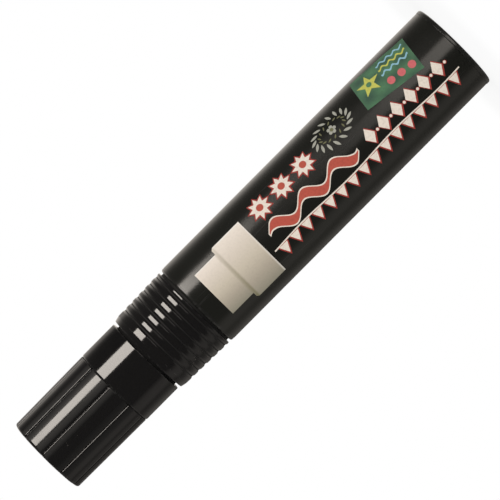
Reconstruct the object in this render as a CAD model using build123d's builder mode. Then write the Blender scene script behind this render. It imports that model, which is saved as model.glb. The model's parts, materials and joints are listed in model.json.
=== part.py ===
from build123d import *
import math
import os

# A jumbo liquid chalk marker with a spring valve, standing on its tail with its cap on.
# Millimetres. +Z runs along the axis from the tail face to the crown of the cap, and the
# printed front of the barrel faces -Y.

# Clearances
press_gap = 0.03
running_gap = 0.06
seat_gap = 0.1

# Nib: a block of pressed fibre with a chisel end
nib_width = 15.0
nib_thickness = 6.0
nib_corner = 1.2
nib_length = 35.0
nib_exposed = 8.0
nib_bevel = 3.4
nib_slip = 0.15
press_travel = 2.5

# Nib holder: the sleeve that guides the nib
holder_wall = 1.07
holder_nose_wall = 1.6
holder_nose_length = 11.8
holder_nose_round = 0.6
holder_flange_overhang = 0.9
holder_flange_thickness = 1.2
holder_spigot_depth = 15.0

# Barrel and the film round it
barrel_bore_radius = 12.5
barrel_wall = 1.35
barrel_length = 101.4
barrel_front_round = 1.0
sleeve_glue_gap = 0.02
sleeve_thickness = 0.13
sleeve_margin = 0.2

# Tail plug
plug_flange_thickness = 1.3
plug_flange_round = 0.65
plug_floor_rise = 0.8
plug_spigot_depth = 7.0
plug_spigot_relief = 0.3
plug_wall = 1.2
plug_rib_width = 0.8
plug_rib_setback = 1.6
tail_recess_radius = 9.0
tail_recess_depth = 0.4

# Joint between barrel and collar
gasket_thickness = 0.8
joint_groove_depth = 1.15
spigot_depth = 10.5
snap_setback = 4.5
snap_width = 1.2
snap_height = 0.25

# Grip collar
collar_length = 18.2
collar_rear_inset = 0.2
collar_shoulder = 2.17
collar_round_length = 1.4
collar_round_drop = 0.4
ring_count = 6
ring_front_margin = 4.28
ring_rear_margin = 1.31
ring_width = 1.5
ring_depth = 0.28
nose_wall = 2.19
nose_length = 7.0
nose_lead = 0.5
nose_bead_setback = 3.4
nose_bead_width = 1.6
nose_bead_height = 0.2

# Valve
shelf_room = 0.7
shelf_thickness = 1.6
shelf_overlap = 3.5
disc_thickness = 2.4
seat_thickness = 1.5
seat_margin = 0.4
seat_overlap = 1.8
body_wall = 1.75
stem_shaft_radius = 1.6
stem_flow_gap = 0.6
stem_head_thickness = 2.0
stem_pin_radius = 1.4
spring_length = 8.3
cage_floor = 1.2
cage_wall = 1.3
cage_wall_height = 3.4
cage_boss_wall = 0.6
cage_boss_height = 3.4
arm_count = 4
arm_width = 1.6
lip_height = 0.2
lip_width = 1.2
lip_lead = 1.6

# Valve spring
wire_radius = 0.35
spring_room = 0.25
end_turns = 1.0
open_turns = 3.5
end_pitch = 1.15

# Mixing ball
ball_radius = 4.0

# Cap
cap_gap = 0.9
cap_wall = 1.2
cap_plain_length = 12.5
cap_lobed_length = 26.9
cap_end_wall = 1.8
cap_bore_room = 0.6
cap_mouth_round = 0.25
lobe_count = 10
lobe_step = 0.05
lobe_taper = 0.23
lobe_depth = 0.61
lobe_phase = 6.0
crown_round = 0.7

# Cap liner
liner_room = 0.7
liner_wall = 0.7
liner_end_wall = 1.0
liner_lip_length = 1.2

# Radii of the nib's guide, worked outwards to the cap
slot_width = nib_width + 2 * nib_slip
slot_thickness = nib_thickness + 2 * nib_slip
slot_corner = nib_corner + nib_slip
slot_reach = math.hypot(slot_width / 2 - slot_corner, slot_thickness / 2 - slot_corner) + slot_corner
holder_spigot_radius = slot_reach + holder_wall
holder_nose_radius = slot_reach + holder_nose_wall
holder_flange_radius = holder_nose_radius + holder_flange_overhang
collar_bore_radius = holder_spigot_radius + press_gap
nose_radius = max(collar_bore_radius + nose_wall, holder_flange_radius + nose_lead)
cap_bore_radius = nose_radius + nose_bead_height + running_gap
cap_radius = cap_bore_radius + cap_wall
liner_bore_radius = holder_nose_radius + liner_room
liner_radius = liner_bore_radius + liner_wall
liner_lip_radius = holder_nose_radius + running_gap
cap_upper_bore_radius = liner_radius + press_gap

# Radii of the barrel and the collar
barrel_radius = barrel_bore_radius + barrel_wall
sleeve_bore_radius = barrel_radius + sleeve_glue_gap
sleeve_radius = sleeve_bore_radius + sleeve_thickness
spigot_radius = barrel_bore_radius - press_gap
collar_rear_radius = sleeve_radius - collar_rear_inset
collar_front_radius = nose_radius + collar_shoulder

# Radii of the valve
chamber_radius = collar_bore_radius
body_radius = chamber_radius - press_gap
skirt_bore_radius = body_radius - body_wall
seat_radius = skirt_bore_radius - press_gap
flow_hole_radius = stem_shaft_radius + stem_flow_gap
seat_bore_radius = flow_hole_radius + seat_margin
stem_head_radius = seat_bore_radius + seat_overlap
guide_radius = stem_pin_radius + running_gap
boss_radius = guide_radius + cage_boss_wall
coil_radius = boss_radius + spring_room + wire_radius
cage_wall_radius = skirt_bore_radius - press_gap
cage_bore_radius = cage_wall_radius - cage_wall

# Stations along the axis
barrel_rear_z = plug_flange_thickness
barrel_front_z = barrel_rear_z + barrel_length
collar_rear_z = barrel_front_z + gasket_thickness
collar_front_z = collar_rear_z + collar_length
nose_end_z = collar_front_z + nose_length
holder_nose_z = nose_end_z + holder_flange_thickness
holder_end_z = holder_nose_z + holder_nose_length
nib_tip_z = holder_end_z + nib_exposed
nib_rear_z = nib_tip_z - nib_length
holder_rear_z = nose_end_z - holder_spigot_depth
shelf_top_z = min(nib_rear_z - press_travel, holder_rear_z) - shelf_room
shelf_rear_z = shelf_top_z - shelf_thickness
seat_top_z = shelf_rear_z - disc_thickness
head_top_z = seat_top_z - seat_thickness
head_rear_z = head_top_z - stem_head_thickness
cage_floor_z = head_rear_z - spring_length
cage_rear_z = cage_floor_z - cage_floor
lip_rear_z = cage_rear_z - seat_gap - lip_width
spigot_end_z = min(barrel_front_z - spigot_depth, lip_rear_z - lip_lead)
cap_mouth_z = collar_front_z + cap_gap
cap_step_z = cap_mouth_z + cap_plain_length
crown_z = cap_step_z + cap_lobed_length
cap_bore_end_z = nose_end_z + cap_bore_room
cap_end_z = crown_z - cap_end_wall
liner_mouth_z = holder_nose_z + seat_gap
liner_end_z = cap_end_z - press_gap
plug_floor_z = plug_flange_thickness + plug_floor_rise
ball_centre_z = plug_floor_z + seat_gap + ball_radius


def ring_of(inner_radius, outer_radius):
    """Draw a ring in the open sketch."""
    Circle(outer_radius)
    Circle(inner_radius, mode=Mode.SUBTRACT)


def arc_section(surface_radius, centre_z, width, height):
    """Draw a rounded bead on a turned surface, or a groove in it where the height is negative."""
    low_z = centre_z - width / 2
    high_z = centre_z + width / 2
    crest_radius = surface_radius + height
    root_radius = surface_radius - height
    with BuildLine() as outline:
        ThreePointArc((surface_radius, low_z), (crest_radius, centre_z), (surface_radius, high_z))
        Polyline(
            (surface_radius, high_z),
            (root_radius, high_z),
            (root_radius, low_z),
            (surface_radius, low_z),
        )
    make_face(outline.edges())


def turned_section(points):
    """Draw a closed section from points of radius and height."""
    with BuildLine() as outline:
        Polyline(*points, close=True)
    make_face(outline.edges())


# Tail plug: a flange flush with the sleeve, and a hollow spigot with two sealing ribs
plug_spigot_radius = barrel_bore_radius - plug_spigot_relief
plug_cup_radius = plug_spigot_radius - plug_wall
plug_end_z = plug_flange_thickness + plug_spigot_depth
with BuildPart() as tail_plug:
    with BuildSketch():
        Circle(sleeve_radius)
    extrude(amount=plug_flange_thickness)
    fillet(tail_plug.edges().group_by(Axis.Z)[0], min(plug_flange_round, plug_flange_thickness - press_gap))
    with BuildSketch(Plane.XY.offset(plug_flange_thickness)):
        Circle(plug_spigot_radius)
    extrude(amount=plug_spigot_depth)
    for rib_z in (plug_flange_thickness + plug_rib_setback, plug_end_z - plug_rib_setback):
        with BuildSketch(Plane.XZ):
            arc_section(plug_spigot_radius, rib_z, plug_rib_width, plug_spigot_relief - press_gap)
        revolve(axis=Axis.Z)
    with BuildSketch(Plane.XY.offset(plug_floor_z)):
        Circle(plug_cup_radius)
    extrude(amount=plug_end_z - plug_floor_z, mode=Mode.SUBTRACT)
    with BuildSketch():
        Circle(tail_recess_radius)
    extrude(amount=tail_recess_depth, mode=Mode.SUBTRACT)

# Barrel: a straight tube with a rounded front edge and a groove for the collar's snap bead
snap_z = barrel_front_z - snap_setback
with BuildPart() as barrel:
    with BuildSketch(Plane.XY.offset(barrel_rear_z)):
        ring_of(barrel_bore_radius, barrel_radius)
    extrude(amount=barrel_length)
    front_edges = barrel.edges().filter_by(GeomType.CIRCLE).group_by(Axis.Z)[-1]
    fillet(front_edges.sort_by(SortBy.RADIUS)[-1], min(barrel_front_round, barrel_wall - press_gap))
    with BuildSketch(Plane.XZ):
        arc_section(barrel_bore_radius, snap_z, snap_width + 2 * seat_gap, snap_height + seat_gap)
    revolve(axis=Axis.Z, mode=Mode.SUBTRACT)

# Printed sleeve: the film that carries the print
sleeve_rear_z = barrel_rear_z + sleeve_margin
sleeve_front_z = barrel_front_z - barrel_front_round - sleeve_margin
with BuildPart() as printed_sleeve:
    with BuildSketch(Plane.XY.offset(sleeve_rear_z)):
        ring_of(sleeve_bore_radius, sleeve_radius)
    extrude(amount=sleeve_front_z - sleeve_rear_z)

# Collar gasket: the ring at the bottom of the groove between barrel and collar
with BuildPart() as collar_gasket:
    with BuildSketch(Plane.XY.offset(barrel_front_z)):
        ring_of(spigot_radius + press_gap, sleeve_radius - joint_groove_depth)
    extrude(amount=gasket_thickness)

# Grip collar: spigot, ringed grip, nose for the cap, and the stepped bore of the valve
shelf_hole_radius = chamber_radius - shelf_overlap
lip_radius = chamber_radius - lip_height
ring_pitch = (collar_length - ring_front_margin - ring_rear_margin) / (ring_count - 1)
with BuildPart() as grip_collar:
    with BuildSketch(Plane.XZ):
        with BuildLine():
            round_start_z = collar_front_z - collar_round_length
            rear_run = Polyline(
                (spigot_radius, spigot_end_z),
                (spigot_radius, collar_rear_z),
                (collar_rear_radius, collar_rear_z),
                (collar_front_radius, round_start_z),
            )
            front_round = EllipticalCenterArc(
                (collar_front_radius - collar_round_drop, round_start_z),
                collar_round_drop,
                collar_round_length,
                start_angle=0,
                arc_size=90,
            )
            Polyline(
                front_round @ 1,
                (nose_radius, collar_front_z),
                (nose_radius, nose_end_z - nose_lead),
                (nose_radius - nose_lead, nose_end_z),
                (collar_bore_radius, nose_end_z),
                (collar_bore_radius, shelf_top_z),
                (shelf_hole_radius, shelf_top_z),
                (shelf_hole_radius, shelf_rear_z),
                (chamber_radius, shelf_rear_z),
                (chamber_radius, cage_rear_z - seat_gap),
                (lip_radius, cage_rear_z - seat_gap),
                (lip_radius, lip_rear_z),
                (chamber_radius, spigot_end_z),
                rear_run @ 0,
            )
        make_face()
        arc_section(spigot_radius, snap_z, snap_width, snap_height)
        arc_section(nose_radius, collar_front_z + nose_bead_setback, nose_bead_width, nose_bead_height)
    revolve(axis=Axis.Z)
    for ring in range(ring_count):
        ring_setback = ring_front_margin + ring * ring_pitch
        ring_share = (ring_setback - collar_round_length) / (collar_length - collar_round_length)
        ring_radius = collar_front_radius + ring_share * (collar_rear_radius - collar_front_radius)
        with BuildSketch(Plane.XZ):
            arc_section(ring_radius, collar_front_z - ring_setback, ring_width, -ring_depth)
        revolve(axis=Axis.Z, mode=Mode.SUBTRACT)

# Nib holder: a sleeve with a slot for the nib, pressed into the collar's nose
with BuildPart() as nib_holder:
    with BuildSketch(Plane.XY.offset(holder_rear_z)):
        Circle(holder_spigot_radius)
    extrude(amount=holder_spigot_depth)
    with BuildSketch(Plane.XY.offset(nose_end_z)):
        Circle(holder_flange_radius)
    extrude(amount=holder_flange_thickness)
    with BuildSketch(Plane.XY.offset(holder_nose_z)):
        Circle(holder_nose_radius)
    extrude(amount=holder_nose_length)
    fillet(nib_holder.edges().group_by(Axis.Z)[-1], holder_nose_round)
    with BuildSketch(Plane.XY.offset(holder_rear_z)):
        RectangleRounded(slot_width, slot_thickness, slot_corner)
    extrude(amount=holder_end_z - holder_rear_z, mode=Mode.SUBTRACT)

# Nib: a rounded block whose end is cut to a chisel
with BuildPart() as nib:
    with BuildSketch(Plane.XY.offset(nib_rear_z)):
        RectangleRounded(nib_width, nib_thickness, nib_corner)
    extrude(amount=nib_length)
    with BuildSketch(Plane.YZ):
        with BuildLine():
            Polyline(
                (-nib_thickness / 2, nib_tip_z),
                (nib_thickness / 2, nib_tip_z),
                (nib_thickness / 2, nib_tip_z - nib_bevel),
                close=True,
            )
        make_face()
    extrude(amount=nib_width, both=True, mode=Mode.SUBTRACT)

# Valve body: a disc with the flow hole, and a skirt round the seat and the cage
with BuildPart() as valve_body:
    with BuildSketch(Plane.XZ):
        turned_section(
            (
                (flow_hole_radius, shelf_rear_z),
                (body_radius, shelf_rear_z),
                (body_radius, cage_floor_z),
                (skirt_bore_radius, cage_floor_z),
                (skirt_bore_radius, seat_top_z),
                (flow_hole_radius, seat_top_z),
            )
        )
    revolve(axis=Axis.Z)

# Valve seat: the soft ring that the stem's head closes
with BuildPart() as valve_seat:
    with BuildSketch(Plane.XY.offset(head_top_z)):
        ring_of(seat_bore_radius, seat_radius)
    extrude(amount=seat_thickness)

# Valve stem: shaft to the nib, head on the seat, and pin in the cage
stem_end_z = cage_rear_z + press_travel + seat_gap
with BuildPart() as valve_stem:
    with BuildSketch(Plane.XZ):
        turned_section(
            (
                (0, stem_end_z),
                (stem_pin_radius, stem_end_z),
                (stem_pin_radius, head_rear_z),
                (stem_head_radius, head_rear_z),
                (stem_head_radius, head_top_z),
                (stem_shaft_radius, head_top_z),
                (stem_shaft_radius, nib_rear_z),
                (0, nib_rear_z),
            )
        )
    revolve(axis=Axis.Z)

# Spring cage: a ring with a wall inside the skirt, and arms to a boss for the stem's pin
arm_start_radius = guide_radius + cage_boss_wall / 2
arm_end_radius = cage_bore_radius + cage_wall / 2
with BuildPart() as spring_cage:
    with BuildSketch(Plane.XY.offset(cage_rear_z)):
        ring_of(cage_bore_radius, body_radius)
        with PolarLocations((arm_start_radius + arm_end_radius) / 2, arm_count):
            Rectangle(arm_end_radius - arm_start_radius, arm_width)
    extrude(amount=cage_floor)
    with BuildSketch(Plane.XY.offset(cage_floor_z)):
        ring_of(cage_bore_radius, cage_wall_radius)
    extrude(amount=cage_wall_height)
    with BuildSketch(Plane.XY.offset(cage_rear_z)):
        ring_of(guide_radius, boss_radius)
    extrude(amount=cage_floor + cage_boss_height)

# Valve spring: one wire with close end turns, on two arcs to each quarter turn
spring_turns = 2 * end_turns + open_turns
spring_rise = spring_length - 2 * wire_radius - 2 * press_gap
open_pitch = (spring_rise - 2 * end_turns * end_pitch) / open_turns
quarter = 0.25


def coil_rise(turn):
    """Rise of the wire's centre line after this many turns."""
    first = min(turn, end_turns)
    middle = min(max(turn - end_turns, 0), open_turns)
    last = max(turn - end_turns - open_turns, 0)
    return (first + last) * end_pitch + middle * open_pitch


def coil_point(turn):
    """Point of the wire's centre line after this many turns."""
    angle = 2 * math.pi * turn
    height = cage_floor_z + press_gap + wire_radius + coil_rise(turn)
    return Vector(coil_radius * math.cos(angle), coil_radius * math.sin(angle), height)


def coil_tangent(turn):
    """Direction of the wire after this many turns, evened out over a quarter turn."""
    angle = 2 * math.pi * turn
    climb = (coil_rise(turn + quarter / 2) - coil_rise(turn - quarter / 2)) / quarter
    around = 2 * math.pi * coil_radius
    return Vector(-around * math.sin(angle), around * math.cos(angle), climb).normalized()


def add_biarc(start_turn, end_turn):
    """Add the two tangent arcs that join two points of the wire."""
    start = coil_point(start_turn)
    end = coil_point(end_turn)
    start_tangent = coil_tangent(start_turn)
    end_tangent = coil_tangent(end_turn)
    chord = end - start
    tangents = start_tangent + end_tangent
    square = tangents.dot(tangents) - 4
    linear = -2 * chord.dot(tangents)
    reach = (-linear - math.sqrt(linear**2 - 4 * square * chord.dot(chord))) / (2 * square)
    first_corner = start + start_tangent * reach
    second_corner = end - end_tangent * reach
    middle = (first_corner + second_corner) * 0.5
    TangentArc(start, middle, tangent=start_tangent)
    TangentArc(middle, end, tangent=second_corner - first_corner)


with BuildPart() as valve_spring:
    with BuildLine() as wire_path:
        for step in range(round(spring_turns / quarter)):
            add_biarc(step * quarter, (step + 1) * quarter)
    with BuildSketch(Plane(origin=wire_path.line @ 0, z_dir=wire_path.line % 0)):
        Circle(wire_radius)
    sweep(path=wire_path.line)

points_per_turn = 24
point_count = round(spring_turns * points_per_turn) + 1
wire_points = [coil_point(index / points_per_turn) for index in range(point_count)]
least_gap = min(
    (wire_points[later] - wire_points[earlier]).length
    for earlier in range(point_count)
    for later in range(earlier + points_per_turn // 2, point_count)
)
print(f"valve spring: least gap between turns {least_gap - 2 * wire_radius:.2f} mm")

# Mixing ball: loose in the ink, resting on the plug's floor
with BuildPart() as mixing_ball:
    with Locations((0, 0, ball_centre_z)):
        Sphere(ball_radius)

# Cap shell: a plain mouth section, and a crown section with tapering lobes round it
lobe_angle = 360 / lobe_count


def polar(radius, angle):
    """Point at this radius and angle in degrees."""
    return (radius * math.cos(math.radians(angle)), radius * math.sin(math.radians(angle)))


def lobed_outline(crest_radius):
    """Draw the closed outline of the lobes: one arc from valley to valley over each crest."""
    valley_radius = crest_radius - lobe_depth
    with BuildLine() as outline:
        for lobe in range(lobe_count):
            crest_angle = lobe_phase + lobe * lobe_angle
            ThreePointArc(
                polar(valley_radius, crest_angle - lobe_angle / 2),
                polar(crest_radius, crest_angle),
                polar(valley_radius, crest_angle + lobe_angle / 2),
            )
    make_face(outline.edges())


lobe_base_radius = cap_radius - lobe_step
lobe_end_radius = lobe_base_radius - lobe_taper
crown_inset = crown_round * (1 - math.sqrt(0.5))
with BuildPart() as cap_shell:
    with BuildSketch(Plane.XY.offset(cap_step_z)):
        lobed_outline(lobe_base_radius)
    with BuildSketch(Plane.XY.offset(crown_z)):
        lobed_outline(lobe_end_radius)
    loft(ruled=True)
    with BuildSketch(Plane.XZ):
        with BuildLine():
            crown_side = Line((cap_radius, cap_mouth_z), (cap_radius, crown_z - 2 * crown_round))
            crown_arc = ThreePointArc(
                crown_side @ 1,
                (lobe_end_radius - crown_inset, crown_z - crown_inset),
                (lobe_end_radius - crown_round, crown_z),
            )
            Polyline(crown_arc @ 1, (0, crown_z), (0, cap_mouth_z), crown_side @ 0)
        make_face()
    revolve(axis=Axis.Z, mode=Mode.INTERSECT)
    with BuildSketch(Plane.XY.offset(cap_mouth_z)):
        Circle(cap_radius)
    extrude(amount=cap_plain_length)
    fillet(cap_shell.edges().group_by(Axis.Z)[0], cap_mouth_round)
    with BuildSketch(Plane.XY.offset(cap_mouth_z)):
        Circle(cap_bore_radius)
    extrude(amount=cap_bore_end_z - cap_mouth_z, mode=Mode.SUBTRACT)
    with BuildSketch(Plane.XY.offset(cap_bore_end_z)):
        Circle(cap_upper_bore_radius)
    extrude(amount=cap_end_z - cap_bore_end_z, mode=Mode.SUBTRACT)

# Cap liner: a cup in the crown whose lip runs over the nib holder's nose
with BuildPart() as cap_liner:
    with BuildSketch(Plane.XZ):
        turned_section(
            (
                (liner_lip_radius, liner_mouth_z),
                (liner_radius, liner_mouth_z),
                (liner_radius, liner_end_z),
                (0, liner_end_z),
                (0, liner_end_z - liner_end_wall),
                (liner_bore_radius, liner_end_z - liner_end_wall),
                (liner_bore_radius, liner_mouth_z + liner_lip_length),
                (liner_lip_radius, liner_mouth_z + liner_lip_length),
            )
        )
    revolve(axis=Axis.Z)

pieces = {
    "tail_plug": tail_plug,
    "barrel": barrel,
    "printed_sleeve": printed_sleeve,
    "collar_gasket": collar_gasket,
    "grip_collar": grip_collar,
    "nib_holder": nib_holder,
    "nib": nib,
    "valve_body": valve_body,
    "valve_seat": valve_seat,
    "valve_stem": valve_stem,
    "spring_cage": spring_cage,
    "valve_spring": valve_spring,
    "mixing_ball": mixing_ball,
    "cap_shell": cap_shell,
    "cap_liner": cap_liner,
}
os.makedirs("parts", exist_ok=True)
for piece_name, piece in pieces.items():
    piece.part.label = piece_name
    export_step(piece.part, f"parts/{piece_name}.step")

ball_travel = cage_rear_z - seat_gap - ball_radius - ball_centre_z
print(f"overall height {crown_z:.2f} mm, diameter {2 * sleeve_radius:.2f} mm")
print(f"cap diameter {2 * cap_radius:.2f} mm, nib tip at {nib_tip_z:.2f} mm")
print(f"ball travel {ball_travel:.2f} mm, valve travel {press_travel:.2f} mm")
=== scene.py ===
"""Looks of a jumbo liquid chalk marker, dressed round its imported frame.

The marker stands on its tail at the origin with its cap on. +Z runs along its axis to the cap's crown, and
the printed front of the barrel faces -Y. Sizes are in millimetres and meshes in metres.
"""

import json
import logging
import math
from dataclasses import dataclass
from enum import Enum
from functools import lru_cache
from typing import Callable, Mapping, NamedTuple, Optional, Sequence, Union

import bmesh
import bpy
from mathutils import Matrix, Vector

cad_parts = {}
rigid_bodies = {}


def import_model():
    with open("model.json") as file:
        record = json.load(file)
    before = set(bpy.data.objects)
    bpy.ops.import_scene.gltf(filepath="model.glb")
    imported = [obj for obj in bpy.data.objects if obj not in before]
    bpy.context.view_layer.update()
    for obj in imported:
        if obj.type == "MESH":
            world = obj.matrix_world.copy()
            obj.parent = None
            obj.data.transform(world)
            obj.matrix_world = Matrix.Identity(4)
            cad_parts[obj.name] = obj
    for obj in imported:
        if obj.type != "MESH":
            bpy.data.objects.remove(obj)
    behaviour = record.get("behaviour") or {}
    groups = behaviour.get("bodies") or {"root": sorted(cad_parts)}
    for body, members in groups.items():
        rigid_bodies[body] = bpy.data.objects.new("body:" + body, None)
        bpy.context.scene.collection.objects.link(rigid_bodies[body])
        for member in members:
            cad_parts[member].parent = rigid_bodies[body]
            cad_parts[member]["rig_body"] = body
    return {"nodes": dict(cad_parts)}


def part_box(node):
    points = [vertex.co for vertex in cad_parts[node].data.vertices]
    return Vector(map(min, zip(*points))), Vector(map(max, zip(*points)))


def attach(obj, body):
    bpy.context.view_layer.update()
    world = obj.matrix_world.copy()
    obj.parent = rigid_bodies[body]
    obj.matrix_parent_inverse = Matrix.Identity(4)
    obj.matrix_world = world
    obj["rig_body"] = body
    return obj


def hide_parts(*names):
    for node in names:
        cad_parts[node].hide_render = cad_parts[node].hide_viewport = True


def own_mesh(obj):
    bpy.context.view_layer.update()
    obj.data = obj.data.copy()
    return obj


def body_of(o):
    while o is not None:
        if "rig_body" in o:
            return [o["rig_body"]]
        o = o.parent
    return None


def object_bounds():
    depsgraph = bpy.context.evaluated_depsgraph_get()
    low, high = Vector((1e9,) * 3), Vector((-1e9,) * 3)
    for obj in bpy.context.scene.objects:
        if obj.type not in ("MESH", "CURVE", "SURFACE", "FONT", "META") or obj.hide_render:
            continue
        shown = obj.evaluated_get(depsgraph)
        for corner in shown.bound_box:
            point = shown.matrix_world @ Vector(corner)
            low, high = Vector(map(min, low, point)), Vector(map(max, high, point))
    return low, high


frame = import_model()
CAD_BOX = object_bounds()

LOG = logging.getLogger("chalk_marker")
MM = 0.001
TURN = 2 * math.pi
QUARTER = math.pi / 2
NODE_STEP = 190
SIDES = 224
TIGHT, FINE, SOFT, FULL, BROAD = 0.1, 0.15, 0.2, 0.3, 0.5  # Rounds of moulded edges
EDGE, RULE, DULL, INK = "edge", "rule", "dull", "ink"

Colour = tuple[float, float, float]
Place = tuple[float, float, float]
Point = tuple[float, float]
Course = Callable[[float], float]
Paint = Callable[[Point], Colour]
Mesh = bpy.types.Mesh
Node = bpy.types.Node
Outputs = bpy.types.NodeOutputs
Piece = bpy.types.Object
Socket = bpy.types.NodeSocket
Source = Union[Socket, bpy.types.ID, float, int, str, Sequence[float]]
Sources = Mapping[Union[str, int], Source]

WHITE: Colour = (1.0, 1.0, 1.0)
BLACK: Colour = (0.0, 0.0, 0.0)


def between(first: float, last: float, share: float) -> float:
    """Give the number at a share of the way from the first to the last."""
    return first + (last - first) * share


def polar(reach: float, angle: float) -> Point:
    """Give the point at a reach and an angle from the origin."""
    return (reach * math.cos(angle), reach * math.sin(angle))


def srgb(red: int, green: int, blue: int) -> Colour:
    """Turn display levels from 0 to 255 into a linear colour."""
    shares = (level / 255 for level in (red, green, blue))
    return tuple(s / 12.92 if s <= 0.04045 else ((s + 0.055) / 1.055) ** 2.4 for s in shares)


def blend(first: Colour, second: Colour, share: float) -> Colour:
    """Mix two colours by the second one's share, which is held to 0 and 1."""
    part = min(max(share, 0.0), 1.0)
    return tuple(between(a, b, part) for a, b in zip(first, second))


def ramp(tones: Sequence[Colour], share: float) -> Colour:
    """Read a colour from evenly spaced tones.

    Args:
        tones: Colours from share 0 to share 1.
        share: Place along them, held to 0 and 1.

    Returns:
        The colour at that place.
    """
    place = min(max(share, 0.0), 1.0) * (len(tones) - 1)
    low = min(int(place), len(tones) - 2)
    return blend(tones[low], tones[low + 1], place - low)


class Body(Enum):
    """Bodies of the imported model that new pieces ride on."""

    BARREL = "barrel"
    CAP = "cap"
    NIB = "nib"


class Slot(Enum):
    """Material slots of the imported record."""

    BARREL_BLACK = "barrel_black"
    PRINTED_FILM = "printed_film"
    GLOSS_BLACK = "gloss_black"
    SEAL_RUBBER = "seal_rubber"
    HOLDER_WHITE = "holder_white"
    LINER_WHITE = "liner_white"
    NIB_FIBRE = "nib_fibre"
    SPRING_STEEL = "spring_steel"
    BALL_STEEL = "ball_steel"


class Ink(Enum):
    """Inks of the print. Called with a point of the label, an ink gives its colour there."""

    CREAM = srgb(247, 233, 217)
    RED = srgb(168, 52, 42)
    BRICK = srgb(196, 84, 66)
    GREEN = srgb(58, 92, 72)
    MOSS = srgb(84, 132, 92)
    YELLOW = srgb(208, 206, 92)
    SKY = srgb(150, 198, 214)
    PINK = srgb(222, 108, 110)
    ASH = srgb(176, 174, 160)
    OLIVE = srgb(116, 114, 78)
    FILM = srgb(26, 25, 25)

    def __call__(self, point: Point) -> Colour:
        """Give the ink's colour, which is the same at every point."""
        return self.value


class Layout(Enum):
    """Ways in which a printed motif repeats."""

    ROW = "row"
    RING = "ring"


class Graph:
    """Adds nodes to one tree and links them."""

    def __init__(self, tree: bpy.types.NodeTree) -> None:
        """Take the tree that the nodes go into."""
        self.tree = tree

    def add(self, kind: str, **settings: object) -> Node:
        """Add a node.

        Args:
            kind: Blender's name for the type of node.
            **settings: Values for the node's own properties.

        Returns:
            The new node.
        """
        node = self.tree.nodes.new(kind)
        node.location = (NODE_STEP * len(self.tree.nodes), 0)
        for name, value in settings.items():
            setattr(node, name, value)
        return node

    def feed(self, node: Node, sources: Sources) -> Outputs:
        """Link sockets to a node's inputs, or set values on them.

        Args:
            node: The node that is fed.
            sources: A socket or a value for each named or numbered input.

        Returns:
            The node's outputs.
        """
        for key, source in sources.items():
            if isinstance(source, Socket):
                self.tree.links.new(source, node.inputs[key])
            else:
                node.inputs[key].default_value = source
        return node.outputs

    def put(self, kind: str, sources: Sources, **settings: object) -> Outputs:
        """Add a node with its settings, feed it and give its outputs."""
        return self.feed(self.add(kind, **settings), sources)

    def math(self, operation: str, *values: Source) -> Socket:
        """Work out a number by Blender's name for the operation."""
        return self.put("ShaderNodeMath", dict(enumerate(values)), operation=operation)[0]

    def times(self, first: Source, second: Source, added: Source = 0.0) -> Socket:
        """Multiply two numbers and add a third."""
        return self.math("MULTIPLY_ADD", first, second, added)

    def span(self, value: Source, low: float, high: float, start: float = 0.0, end: float = 1.0) -> Socket:
        """Map a number smoothly from low and high to start and end, held at both."""
        sources = dict(enumerate((value, low, high, start, end)))
        return self.put("ShaderNodeMapRange", sources, interpolation_type="SMOOTHSTEP")[0]

    def noise(self, vector: Source, scale: Source, detail: float = 2.0) -> Socket:
        """Read a noise round a half, by its spots to a metre and its finer layers."""
        return self.put("ShaderNodeTexNoise", {"Vector": vector, "Scale": scale, "Detail": detail})[0]

    def stretched(self, vector: Source, scale: Place, turn: Place = (0.0, 0.0, 0.0)) -> Socket:
        """Stretch coordinates along each axis and turn them about each, in radians."""
        return self.put("ShaderNodeMapping", {"Vector": vector, "Scale": scale, "Rotation": turn})[0]

    def mix(self, first: Source, second: Source, share: Source) -> Socket:
        """Mix two colours by the second one's share."""
        sources = {0: share, 6: opaque(first), 7: opaque(second)}
        return self.put("ShaderNodeMix", sources, data_type="RGBA")[2]

    def steps(self, value: Source, stops: Sequence[Point]) -> Socket:
        """Read a grey level from a row of stops.

        Args:
            value: Place along the row, from 0 to 1.
            stops: Place and level of each stop.

        Returns:
            The socket with the level.
        """
        node = self.add("ShaderNodeValToRGB")
        elements = node.color_ramp.elements
        for stop in stops[2:]:
            elements.new(stop[0])
        for element, (place, level) in zip(elements, stops):
            element.position = place
            element.color = (level, level, level, 1.0)
        return self.feed(node, {0: value})[0]

    def parted(self, vector: Source) -> Outputs:
        """Part a vector into its three numbers."""
        return self.put("ShaderNodeSeparateXYZ", {0: vector})

    def surface(self) -> Socket:
        """Give the object coordinates of a surface."""
        return self.add("ShaderNodeTexCoord").outputs["Object"]

    def mark(self, name: str, output: str = "Fac") -> Socket:
        """Give an attribute that a mesh carries, as its Fac or its Color."""
        return self.add("ShaderNodeAttribute", attribute_name=name).outputs[output]

    def bump(self, height: Source, depth: float) -> Socket:
        """Turn a pattern from 0 to 1 into normals, by its depth in millimetres."""
        return self.put("ShaderNodeBump", {"Height": height, "Distance": depth * MM})[0]

    def either(self, share: Source, first: Source, second: Source) -> Socket:
        """Mix two shaders by the second one's share."""
        return self.put("ShaderNodeMixShader", {0: share, 1: first, 2: second})[0]

    def seen(self) -> Socket:
        """Say whether the camera sees a place, directly or through a clear one."""
        path = self.add("ShaderNodeLightPath").outputs
        return self.math("ADD", path["Is Camera Ray"], path["Is Transmission Ray"])

    def effect(self, kind: type["Effect"], place: Source, values: Optional[Sources] = None) -> Outputs:
        """Add a shared shader effect at a place, with values for its other inputs."""
        sources = {"Vector": place, **(values or {})}
        return self.put("ShaderNodeGroup", sources, node_tree=shared(kind).tree)


def opaque(colour: Source) -> Source:
    """Give a plain colour its alpha, and leave a socket as it is."""
    return colour if isinstance(colour, Socket) else (*colour, 1.0)


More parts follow.
